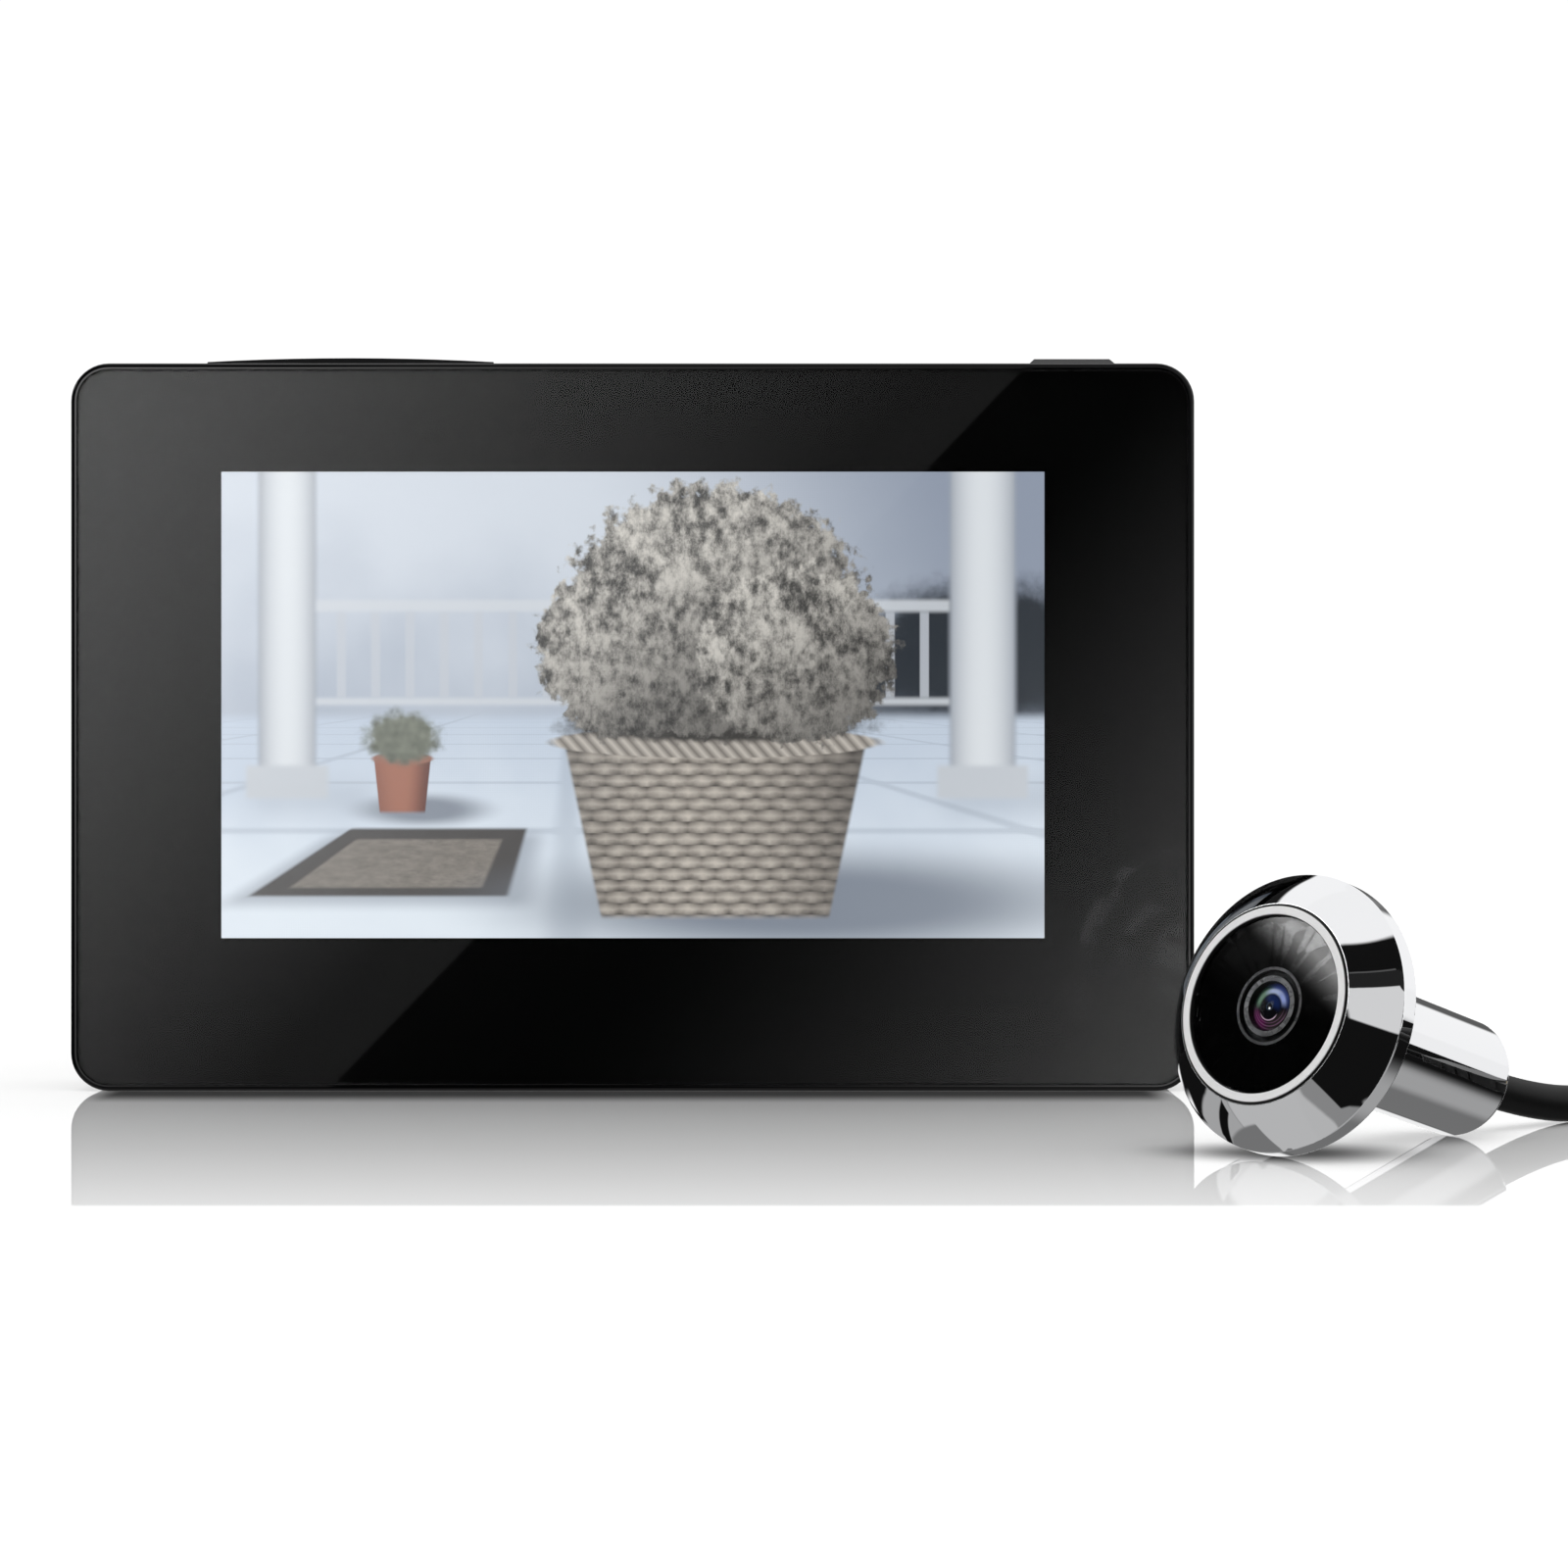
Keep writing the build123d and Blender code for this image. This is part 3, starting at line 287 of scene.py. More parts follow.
# %% [markdown]
# The case is moulded in black plastic with a fine satin grain, like the inside of a spark-eroded
# mould. The grain could be modelled as noise in the mesh, but at 0.15 mm it is far too fine, so
# it is a bump. A second, larger noise makes the gloss uneven, as handling does.

# %% Case plastic
case_black, case_roughness, case_grain = rgb(0.020, 0.020, 0.021), 0.38, 0.15 * MM
wear_size, wear_depth = 14 * MM, 0.12
grain_height, grain_strength = 0.01 * MM, 0.35


def satin_plastic(name, colour, roughness, grain):
    material, tree, shader = finish(name, colour, roughness)
    wear = noise(tree, wear_size, 3)
    feed(tree, shader.inputs["Roughness"], wear * wear_depth + (roughness - wear_depth / 2))
    bump(tree, shader, noise(tree, grain, 2), grain_height, grain_strength)
    return material


shell_black = satin_plastic("case_black", case_black, case_roughness, case_grain)
dress(shell_black, "rear_shell", "battery_cover")

# %% Case plastic: the front frame with its polished lip
# The lip round the glass is polished to match it, so the mould's grain stops just behind the
# front.
case_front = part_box("front_frame")[0].y
lip_depth, lip_blend = 1.0 * MM, 0.2 * MM
lip_black, lip_roughness = rgb(0.0016, 0.0016, 0.0018), 0.06
frame_black, tree, shader = finish(
    "frame_black", case_black, case_roughness, Specular_IOR_Level=0.3
)
x, y, z = place(tree)
lip_end = case_front + lip_depth
grained = rise(y, lip_end - lip_blend, lip_end + lip_blend)
feed(tree, shader.inputs["Base Color"], mixed(grained, lip_black, case_black))
satin = noise(tree, wear_size, 3) * wear_depth + (case_roughness - wear_depth / 2 - lip_roughness)
feed(tree, shader.inputs["Roughness"], grained * satin + lip_roughness)
bump(tree, shader, noise(tree, case_grain, 2) * grained, grain_height, grain_strength)
dress(frame_black, "front_frame")

# %% Case plastic: keys
key_black = satin_plastic("key_black", rgb(0.018, 0.018, 0.019), 0.30, 0.3 * MM)
dress(key_black, "power_key", "menu_rocker")

# %% [markdown]
# The front is one sheet of clear glass with a polished edge. A sheet of glass reflects at both
# faces, and its back must not touch the print in the model, or the renderer can't tell which
# comes first. So the sheet is made here, 0.03 mm thinner than the solid, from loops round a
# rectangle with round corners.

# %% Cover glass: outline
glass_low, glass_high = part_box("front_glass")
glass_corner, glass_bevel, corner_steps, bevel_steps = 3.6 * MM, 0.15 * MM, 20, 4
print_gap = 0.03 * MM


def glass_loop(inset, y):
    """Points round the glass at this inset and depth."""
    corner = glass_corner - inset
    points = []
    for turn, (x, z) in enumerate(((1, 1), (-1, 1), (-1, -1), (1, -1))):
        middle_x = (glass_high.x if x > 0 else glass_low.x) - x * glass_corner
        middle_z = (glass_high.z if z > 0 else glass_low.z) - z * glass_corner
        for step in range(corner_steps + 1):
            angle = (turn + step / corner_steps) * math.pi / 2
            points.append(
                (middle_x + corner * math.cos(angle), y, middle_z + corner * math.sin(angle))
            )
    return points


loops = [glass_loop(0, glass_high.y - print_gap)]
for step in range(bevel_steps + 1):
    angle = step / bevel_steps * math.pi / 2
    depth = glass_bevel * (1 - math.sin(angle))
    loops.append(glass_loop(glass_bevel * (1 - math.cos(angle)), glass_low.y + depth))
print("glass loops", len(loops), "of", len(loops[0]), "points")

# %% [markdown]
# The loops are joined by quads, and closed by one large face at each end. All faces have to look
# outwards. The renderer takes the inside of glass for its outside otherwise, and the sheet would
# turn into a mirror when it is seen from a slant.

# %% Cover glass: mesh
count = len(loops[0])
glass_points = [p for loop in loops for p in loop]
back_face = list(range(count))[::-1]
front_face = list(range(len(glass_points) - count, len(glass_points)))
glass_faces = [back_face, front_face]
for row in range(0, (len(loops) - 1) * count, count):
    for i in range(count):
        j = (i + 1) % count
        glass_faces.append([row + i, row + j, row + count + j, row + count + i])
glass_mesh = bpy.data.meshes.new("cover_glass")
glass_mesh.from_pydata(glass_points, [], glass_faces)
glass_mesh.update()
cover_glass = bpy.data.objects.new("cover_glass", glass_mesh)
bpy.context.scene.collection.objects.link(cover_glass)
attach(cover_glass, "root")
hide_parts("front_glass")
front_looks = tuple(round(v, 3) for v in glass_mesh.polygons[1].normal)
print("cover glass faces", len(glass_faces), "front looks along", front_looks)

# %% [markdown]
# Display glass is coated so that it mirrors little. A low refractive index stands for the coat.
# Behind the glass is a gloss black print with a sharp window. Ink on glass has no texture of its
# own, only faint unevenness in its thickness.

# %% Cover glass and black print
coated_index = 1.22
clear_glass = finish(
    "cover_glass", rgb(0.97, 0.98, 0.985), 0.006, Transmission_Weight=1.0, IOR=coated_index
)[0]
glass_mesh.materials.append(clear_glass)
thin_ink, thick_ink = rgb(0.0027, 0.0027, 0.0028), rgb(0.0018, 0.0018, 0.0019)
ink, tree, shader = finish("black_ink", thick_ink, 0.35, Specular_IOR_Level=0.03)
feed(tree, shader.inputs["Base Color"], mixed(noise(tree, 9 * MM, 2), thick_ink, thin_ink))
dress(ink, "glass_mask")

# %% [markdown]
# The display shows what the lens head sees: an empty porch, a little soft, as small sensors see
# it. A picture file would be the easy way, but a finish made of nodes stays sharp at any size.
# It is painted from the back to the front: wall, hedge, floor tiles, posts, a basket with a
# clipped shrub, and last the display's own pixel grid. Places in it are shares of the picture's
# width and height, counted from its lower left corner.

# %% Display: coordinates on the picture
lcd_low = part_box("lcd_panel")[0]
picture_width, picture_height = 95.04 * MM, 53.86 * MM
picture_bottom = lcd_low.z + 8.0 * MM
display, tree, shader = finish("display", rgb(0.02, 0.02, 0.022), 0.25)
x, y, z = place(tree)
across = x / picture_width + 0.5
up = (z - picture_bottom) / picture_height
soft_noise = noise(tree, 12 * MM, 3)
fine_noise = noise(tree, 1.2 * MM, 4)
print("picture", picture_width, picture_height)


# %% Display: painting helpers
def disc(middle_across, middle_up, radius_across, radius_up, soft, ragged=0.0):
    """Mask of an ellipse whose rim can be made ragged by fine noise."""
    a = (across - middle_across) / radius_across
    b = (up - middle_up) / radius_up
    far = distance(a, b) + (fine_noise - 0.5) * ragged
    return rise(far, 1 - soft, 1 + soft).flip()


def panel(left, right, low, high, soft):
    """Mask of an upright rectangle. The picture is wider than high, so soft grows upwards."""
    return between(across, left, right, soft) * between(up, low, high, soft * 1.7)


soft_shadow = rgb(0.22, 0.25, 0.30)
print("painting helpers ready, nodes", len(tree.nodes))

# %% Display: wall and hedge
wall_light = rise(up + (soft_noise - 0.5) * 0.5, 0.35, 0.95)
wall = mixed(wall_light, rgb(0.40, 0.45, 0.53), rgb(0.60, 0.645, 0.71))
wall = mixed(rise(across + up * 0.35, 0.75, 1.25), wall, rgb(0.27, 0.31, 0.39))
hedge_dark, hedge_darker = rgb(0.030, 0.038, 0.050), rgb(0.022, 0.028, 0.036)
view = mixed(panel(0.70, 1.2, 0.46, 0.64, 0.05), wall, hedge_dark)
view = mixed(disc(0.93, 0.62, 0.16, 0.14, 0.30, 0.35), view, hedge_darker)
print("wall and hedge, nodes", len(tree.nodes))

# %% Display: floor tiles
# Joints that run away meet at one point, a little above the tiles' far edge. Joints across get
# closer towards that point.
far_edge, vanishing_across, vanishing_up = 0.46, 0.42, 0.54
ground_light = rise(up.flip() + (soft_noise - 0.5) * 0.3, 0.5, 1.0)
ground = mixed(ground_light, rgb(0.52, 0.59, 0.69), rgb(0.75, 0.81, 0.87))
depth = (up * -1.0 + vanishing_up).math("MAXIMUM", 0.02)
lane = (across - vanishing_across) / depth
joints = rise(comb(lane * 0.55), 0.455, 0.495)
joints = joints + rise(comb(depth.math("POWER", -1.0) * 0.62), 0.43, 0.495)
ground = mixed(joints.math("MINIMUM", 1.0) * 0.35, ground, rgb(0.30, 0.35, 0.42))
view = mixed(rise(up, far_edge, far_edge + 0.03).flip(), view, ground)
print("floor tiles, nodes", len(tree.nodes))

# %% Display: posts
POSTS = ((0.045, 0.115), (0.885, 0.965))
for left, right in POSTS:
    middle, half = (left + right) / 2, (right - left) / 2
    round_shade = ((across - middle) / half).math("ABSOLUTE")
    post = mixed(round_shade * round_shade, rgb(0.70, 0.73, 0.76), rgb(0.34, 0.37, 0.42))
    post_shadow = panel(left - 0.01, right + 0.07, 0.27, 0.33, 0.03) * 0.4
    foot = panel(left - 0.015, right + 0.015, 0.30, 0.37, 0.005)
    view = mixed(post_shadow, view, rgb(0.30, 0.34, 0.40))
    view = mixed(panel(left, right, 0.34, 1.2, 0.005), view, post)
    view = mixed(foot, view, rgb(0.54, 0.57, 0.61))
print("posts, nodes", len(tree.nodes))

# %% Display: rail between the posts
rail_left, rail_right = POSTS[0][1], POSTS[1][0]
bars_low, bars_high = 0.515, 0.70
for low, high in ((bars_high, 0.725), (0.50, bars_low)):
    rail = panel(rail_left, rail_right, low, high, 0.004) * 0.85
    view = mixed(rail, view, rgb(0.60, 0.63, 0.67))
bars = rise(comb(across * 24.0), 0.10, 0.16).flip() * 0.8
bars = bars * panel(rail_left, rail_right, bars_low, bars_high, 0.004)
view = mixed(bars, view, rgb(0.52, 0.55, 0.60))
print("rail, nodes", len(tree.nodes))

# %% Display: door mat
# The mat's sides follow the tiles' joints, so its width is written in lanes.
mat = between(lane, -0.86, -0.16, 0.012) * between(up, 0.09, 0.235, 0.005)
mat_middle = between(lane, -0.78, -0.24, 0.010) * between(up, 0.108, 0.212, 0.004)
mat_shadow = between(lane, -0.90, -0.10, 0.05) * between(up, 0.07, 0.225, 0.02) * 0.55
coir_noise = noise(tree, 0.5 * MM, 4, (2.5, 1, 1), 0.7)
coir = mixed(coir_noise, rgb(0.10, 0.09, 0.08), rgb(0.33, 0.30, 0.265))
view = mixed(mat_shadow, view, soft_shadow)
view = mixed(mat, view, rgb(0.075, 0.07, 0.068))
view = mixed(mat_middle, view, coir)
print("mat, nodes", len(tree.nodes))

# %% Display: terracotta pot
pot_across, pot_half, pot_low, pot_high = 0.22, 0.033, 0.27, 0.385
view = mixed(disc(0.245, 0.275, 0.07, 0.03, 0.5), view, rgb(0.24, 0.27, 0.32))
pot_right = across - pot_across
pot_side = (pot_right.math("ABSOLUTE") - (up - 0.36) * 0.06) / pot_half
pot_shade = rise(pot_side + pot_right * 9.0, 0.2, 1.4)
pot = mixed(pot_shade, rgb(0.36, 0.15, 0.10), rgb(0.12, 0.045, 0.035))
pot_mask = rise(pot_side, 0.97, 1.03).flip() * between(up, pot_low, pot_high, 0.006)
view = mixed(pot_mask, view, pot)
view = mixed(disc(pot_across, pot_high, 0.037, 0.014, 0.10), view, rgb(0.32, 0.14, 0.10))
herb = mixed(fine_noise, rgb(0.04, 0.045, 0.035), rgb(0.26, 0.28, 0.22))
view = mixed(disc(pot_across, 0.43, 0.045, 0.055, 0.25, 0.7), view, herb)
print("pot, nodes", len(tree.nodes))

# %% Display: basket
# The weave is two combs: rows of cane, and stakes that are offset by half a step in each row.
basket_across, basket_rim = 0.60, 0.42
view = mixed(disc(0.72, 0.075, 0.32, 0.10, 0.55), view, soft_shadow)
side = (across - basket_across).math("ABSOLUTE") - (up - 0.40) * 0.12
basket_mask = rise(side, 0.178, 0.184).flip() * between(up, 0.045, basket_rim, 0.008)
weave_up = comb(up * 40.0 + (fine_noise - 0.5) * 0.5) * 2.0
weave_across = comb(across * 30.0 + (up * 40.0).math("FLOOR") * 0.5) * 2.0
weave = (weave_up.flip() * 0.6 + weave_across * 0.5).math("MINIMUM", 1.0)
weave = weave * (fine_noise * 0.5 + 0.7)
basket = mixed(weave, rgb(0.085, 0.075, 0.066), rgb(0.56, 0.51, 0.45))
round_side = ((across - 0.57) / 0.20).math("ABSOLUTE")
basket = mixed(round_side * round_side * 0.7, basket, rgb(0.055, 0.050, 0.047))
view = mixed(basket_mask, view, basket)
twist = comb(across * 60.0 + up * 30.0) * 2.0
rim = mixed(twist, rgb(0.20, 0.18, 0.16), rgb(0.52, 0.48, 0.43))
view = mixed(disc(basket_across, basket_rim, 0.200, 0.034, 0.05, 0.08), view, rim)
basket_mouth = disc(basket_across, basket_rim + 0.035, 0.180, 0.035, 0.25, 0.5)
view = mixed(basket_mouth, view, rgb(0.05, 0.047, 0.043))
print("basket, nodes", len(tree.nodes))

# %% Display: clipped shrub
# Each row: middle across and up, and half the width and height of one clump.
CLUMPS = ((0.60, 0.70, 0.185, 0.27), (0.50, 0.62, 0.12, 0.19), (0.70, 0.61, 0.12, 0.19))
leaf_noise = noise(tree, 1.15 * MM, 5, (1, 1, 1.4), 0.7)
clump_noise = noise(tree, 5 * MM, 3)
leaf_light = rise(leaf_noise + (clump_noise - 0.5) * 0.5, 0.28, 0.72)
leaves = mixed(leaf_light, rgb(0.050, 0.048, 0.044), rgb(0.64, 0.61, 0.56))
for middle_across, middle_up, half_across, half_up in CLUMPS:
    lit = rise((across - middle_across) * -1.6 + (up - middle_up) * 1.5, -0.40, 0.35)
    shaded = mixed(lit.flip() * 0.72, leaves, rgb(0.030, 0.029, 0.028))
    clump = disc(middle_across, middle_up, half_across, half_up, 0.05, 0.50)
    view = mixed(clump, view, shaded)
print("shrub, nodes", len(tree.nodes))

# %% [markdown]
# A 4.3 inch display has 480 columns, one every 0.2 mm. The gaps between them darken the light a
# little. The panel shines only at its front, so the light stays out of the case. Such displays
# are dim from the side, where the chrome sees them, so a mirrored ray gets a fifth of the light.

# %% Display: pixel grid and light
pixel = picture_width / 480
gaps = rise(comb(x / pixel), 0.40, 0.5) + rise(comb(z / pixel), 0.40, 0.5)
grid = gaps * -0.10 + 1.0
front_only = rise(y, lcd_low.y + 0.05 * MM, lcd_low.y + 0.1 * MM).flip()
mirrored = tree.nodes.new("ShaderNodeLightPath").outputs["Glossy Depth"]
dimmed = rise(Wire(tree, mirrored), 0.4, 0.6) * -0.8 + 1.0
display_power = 1.04
feed(tree, shader.inputs["Emission Color"], view)
feed(tree, shader.inputs["Emission Strength"], grid * front_only * dimmed * display_power)
dress(display, "lcd_panel")

# %% [markdown]
# The lens head is a turned brass part, polished and chromed, and most of its finishes are rings
# or turning marks round its axis. The CAD record says where the tube's middle is and which way
# it points, so the axis comes from there. Two more directions at right angles to it tell right
# from left and up from down on its face.

# %% The lens head's own axis
tube_mount = next(m for m in frame["record"]["mounts"] if m["name"] == "camera_tube")
tube_middle = 15.21 * MM
axis = Vector(tube_mount["axis"]).normalized()
head_origin = Vector(tube_mount["pos_m"]) - axis * tube_middle
level = Vector((axis.y, -axis.x, 0)).normalized()
rising = level.cross(axis).normalized()
if rising.z < 0:
    rising = -rising


def along(tree, direction):
    """Distance from the lens head's origin along a direction, as a wire in metres."""
    coordinates = tree.nodes.new("ShaderNodeTexCoord")
    node = tree.nodes.new("ShaderNodeVectorMath")
    node.operation = "DOT_PRODUCT"
    tree.links.new(coordinates.outputs["Object"], node.inputs[0])
    node.inputs[1].default_value = direction
    return Wire(tree, node.outputs["Value"]) - head_origin.dot(direction)


def around(tree):
    """Distance from the head's axis, and how far to the right and up, in metres."""
    right, high = along(tree, level), along(tree, rising)
    return distance(right, high), right, high


print("lens head axis", tuple(round(v, 4) for v in axis))

# %% [markdown]
# Chrome is nearly a perfect mirror with a slight blue coldness. Polishing leaves a trace of haze
# in places, so the roughness varies between almost nothing and a little. The seat inside the
# cone is painted matt and near black as shade in the recess, so that nothing shines beside the
# window.

# %% Chrome
chrome_white, seat_shade_black = rgb(0.90, 0.905, 0.92), rgb(0.003, 0.003, 0.003)
mouth_radius, mouth_soft = 9.80 * MM, 0.04 * MM
clean_roughness, haze_roughness, seat_roughness = 0.012, 0.035, 0.5
chrome, tree, shader = finish("chrome", chrome_white, 0.02, Metallic=1.0)
haze = noise(tree, 5 * MM, 4)
radius, right, high = around(tree)
# Painted shade: inside the mouth, behind the window, the chrome becomes matt and near black.
shaded_seat = rise(radius, mouth_radius - mouth_soft, mouth_radius + mouth_soft).flip()
shaded_seat = shaded_seat * rise(along(tree, axis), -1.7 * MM, -1.5 * MM).flip()
feed(tree, shader.inputs["Base Color"], mixed(shaded_seat, chrome_white, seat_shade_black))
feed(tree, shader.inputs["Metallic"], shaded_seat.flip())
roughness = rise(haze, 0.45, 0.85) * haze_roughness + shaded_seat * seat_roughness
feed(tree, shader.inputs["Roughness"], roughness + clean_roughness)
dress(chrome, "camera_housing")

# %% [markdown]
# The ring round the window is bright aluminium with fine turning marks, which are a sine wave of
# the distance from the axis. Only its flat front keeps the bright colour. Its bevels are painted
# dark as shade, which gives it an outline.

# %% Trim ring
ring_white, bevel_painted_shade = rgb(0.92, 0.92, 0.92), rgb(0.006, 0.006, 0.006)
satin_ring, tree, shader = finish("satin_ring", ring_white, 0.42, Metallic=0.25)
radius, right, high = around(tree)
turning = (radius / (0.03 * MM)).math("SINE") * 0.5 + 0.5
flat_part = between(radius, 8.74 * MM, 9.52 * MM, 0.05 * MM)
# Painted shade: the bevels get a near-black colour, the flat front the aluminium's white.
feed(tree, shader.inputs["Base Color"], mixed(flat_part, bevel_painted_shade, ring_white))
feed(tree, shader.inputs["Roughness"], turning * 0.08 + 0.38)
bump(tree, shader, turning, 0.002 * MM, 0.3)
dress(satin_ring, "trim_ring")

# %% [markdown]
# The window in front of the lens is plain, very glossy glass. It looks black because of the cup
# behind it, which hides everything but the lens.

# %% Window and cup
plain_index = 1.5
window = finish(
    "window", rgb(0.93, 0.94, 0.95), 0.006, Transmission_Weight=1.0, IOR=plain_index
)[0]
dress(window, "window_glass")
cup, tree, shader = finish(
    "bezel_black", rgb(0.0015, 0.0015, 0.0016), 0.5, Specular_IOR_Level=0.04
)
bump(tree, shader, noise(tree, 0.4 * MM, 2), 0.005 * MM, 0.3)
dress(cup, "lens_bezel")
barrel, tree, shader = finish("barrel_black", rgb(0.010, 0.010, 0.011), 0.45)
bump(tree, shader, noise(tree, 0.2 * MM, 2), 0.005 * MM, 0.3)
dress(barrel, "lens_barrel", "lens_holder")

# %% [markdown]
# The lens sits in a thin grey ring and a thicker one. Only the front face of each is bright. Its
# bore and its rim lie in the cup's shade, which is painted on them as near black. Both have
# turning marks, and their grey is painted lighter towards the upper left, where the light comes
# from, and darker towards the lower right.

# %% Rings round the lens
# Each row: material, piece, how light its grey is, and the radii of its bore and rim in mm.
RINGS = (
    ("ring_grey", "lens_ring", 0.55, 3.47, 3.85),
    ("retainer_grey", "lens_retainer", 0.90, 2.40, 3.00),
)
wall_painted_shade = rgb(0.020, 0.017, 0.016)
for name, piece, light_grey, bore, rim in RINGS:
    ring_grey, tree, shader = finish(name, rgb(0.2, 0.2, 0.2), 0.45, Metallic=0.2)
    radius, right, high = around(tree)
    # Painted light and shade: the grey is lighter towards the upper left and darker to the lower
    # right.
    painted_light_side = rise(high - right * 0.5, -3.5 * MM, 3.5 * MM)
    painted_shade_grey = light_grey * 0.7
    grey_with_painted_light = mixed(painted_light_side, rgb(painted_shade_grey, painted_shade_grey, painted_shade_grey), rgb(light_grey, light_grey, light_grey * 1.02))
    # Painted shade: the bore and the rim get a near-black colour.
    face = between(radius, (bore + 0.06) * MM, (rim - 0.04) * MM, 0.03 * MM)
    feed(tree, shader.inputs["Base Color"], mixed(face, wall_painted_shade, grey_with_painted_light))
    bump(tree, shader, (radius / (0.05 * MM)).math("SINE"), 0.002 * MM, 0.3)
    dress(ring_grey, piece)

# %% [markdown]
# A coated lens reflects light in colours: green and violet-blue at the top, magenta at the
# bottom. Thin-film colour would need many lenses to act together, so these coloured reflections
# and a highlight are painted on the lens as arcs about its own axis, where they stay from every
# side, and they glow.

# %% Coated lens: arcs
lens, tree, shader = finish("lens_glass", rgb(0.01, 0.01, 0.012), 0.08, Specular_IOR_Level=0.08)
radius, right, high = around(tree)


def arc(inside, outside, start, end, soft, soft_ends, middle):
    """Mask of a part of a ring. Radii in mm, bearings in degrees counter-clockwise from right."""
    a, b = right - middle[0] * MM, high - middle[1] * MM
    bearing = b.math("ARCTAN2", a) * (180 / math.pi) - (start + end) / 2
    # Bearings from the arc's middle run from -180 to 180, so that no arc is cut at 0.
    bearing = (bearing + 540.0).math("MODULO", 360.0) - 180.0
    half = (end - start) / 2
    ring = between(distance(a, b) / MM, inside, outside, soft)
    return ring * between(bearing, -half, half, soft_ends)


print("lens axis coordinates, nodes", len(tree.nodes))

# %% Coated lens: colours
CENTRE = (0, 0)
ARCS = [
    # inside, outside, start, end, softness, soft ends, middle, strength, colour
    (1.75, 2.30, 5, 105, 0.15, 25, CENTRE, 1.0, (0.010, 0.014, 0.060)),
    (1.60, 1.98, 15, 105, 0.22, 25, CENTRE, 0.9, (0.045, 0.065, 0.200)),
    (1.65, 2.20, 105, 175, 0.20, 25, CENTRE, 0.8, (0.012, 0.028, 0.018)),
    (1.26, 1.84, 100, 178, 0.22, 22, CENTRE, 1.0, (0.115, 0.190, 0.135)),
    (1.28, 1.75, 48, 115, 0.15, 22, CENTRE, 1.0, (0.300, 0.350, 0.500)),
    (1.28, 1.72, 12, 58, 0.13, 20, CENTRE, 1.0, (0.230, 0.280, 0.520)),
    (0.40, 1.18, -10, 125, 0.25, 30, CENTRE, 1.0, (0.006, 0.014, 0.060)),
    (1.40, 2.25, 195, 258, 0.25, 20, CENTRE, 1.0, (0.070, 0.006, 0.048)),
    (1.30, 2.20, 262, 345, 0.25, 20, CENTRE, 0.8, (0.024, 0.019, 0.019)),
    (1.55, 1.62, 190, 340, 0.04, 25, CENTRE, 0.7, (0.130, 0.060, 0.110)),
    (1.82, 1.90, 185, 340, 0.04, 25, CENTRE, 0.8, (0.150, 0.075, 0.130)),
    (2.10, 2.18, 185, 340, 0.04, 25, CENTRE, 0.5, (0.120, 0.080, 0.110)),
    (1.06, 1.14, 215, 325, 0.04, 15, (-0.08, -0.22), 1.0, (0.500, 0.360, 0.460)),
    (0.30, 0.42, 0, 360, 0.06, 0.1, CENTRE, 0.5, (0.030, 0.050, 0.080)),
    # The last row is a painted highlight near the middle.
    (-1.0, 0.10, 0, 360, 0.06, 0.1, (0.02, -0.2), 1.0, (0.950, 0.950, 0.970)),
]
painted_reflection = rgb(0.003, 0.003, 0.004)
for *outline, strength, colour in ARCS:
    painted_reflection = mixed(arc(*outline) * strength, painted_reflection, rgb(*colour))
# The painted reflections go into both the base colour and the emission, so the lens glows.
feed(tree, shader.inputs["Base Color"], painted_reflection)
feed(tree, shader.inputs["Emission Color"], painted_reflection)
feed(tree, shader.inputs["Emission Strength"], 0.9)
dress(lens, "front_lens")

# %% [markdown]
# Behind the front lens come more lenses and a filter that keeps infrared from the sensor. They
# are plain polished glass, with a blue and a greenish cast that their coats give.

# %% Glass inside the barrel
inner = finish(
    "inner_lens_glass", rgb(0.55, 0.62, 0.85), 0.02, Transmission_Weight=1.0, IOR=plain_index
)[0]
dress(inner, "inner_lenses")
filter_glass = finish(
    "filter_glass", rgb(0.55, 0.80, 0.85), 0.02, Transmission_Weight=1.0, IOR=plain_index
)[0]
dress(filter_glass, "ir_filter")

# %% [markdown]
# Rubber and soft PVC are dull black with a broad highlight. The lead's jacket is smoother than
# the bung, and foam has open cells that a coarse, strong bump stands for. Each is one colour
# with a bump, so a table and a loop make them all.

# %% Soft black parts
# Each row: name, colour, roughness, settings, grain size, detail and rough edge of the grain,
# its height, its strength, and the pieces.
SOFT_PARTS = (
    ("lead_jacket", (0.004, 0.004, 0.004), 0.5, {"Specular_IOR_Level": 0.14},
     0.5 * MM, 3, 0.5, 0.02 * MM, 0.3, ("lead_in_tube", "camera_lead")),
    ("bung_rubber", (0.015, 0.015, 0.015), 0.65, {},
     0.25 * MM, 3, 0.5, 0.02 * MM, 0.4, ("cable_bung",)),
    ("foam", (0.03, 0.03, 0.03), 0.9, {},
     0.35 * MM, 4, 0.8, 0.12 * MM, 0.8, ("door_gasket",)),
    ("silicone", (0.72, 0.72, 0.70), 0.55, {"Subsurface_Weight": 0.2},
     0.4 * MM, 2, 0.5, 0.01 * MM, 0.3, ("power_dome", "menu_domes")),
)
for name, colour, roughness, settings, grain, detail, rough, height, strength, names in SOFT_PARTS:
    material, tree, shader = finish(name, rgb(*colour), roughness, **settings)
    bump(tree, shader, noise(tree, grain, detail, rough=rough), height, strength)
    dress(material, *names)
    if "camera_lead" in names:
        lead_curve.materials.append(material)
plug_black = satin_plastic("plug_black", rgb(0.018, 0.018, 0.018), 0.45, 0.2 * MM)
dress(plug_black, "camera_plug")

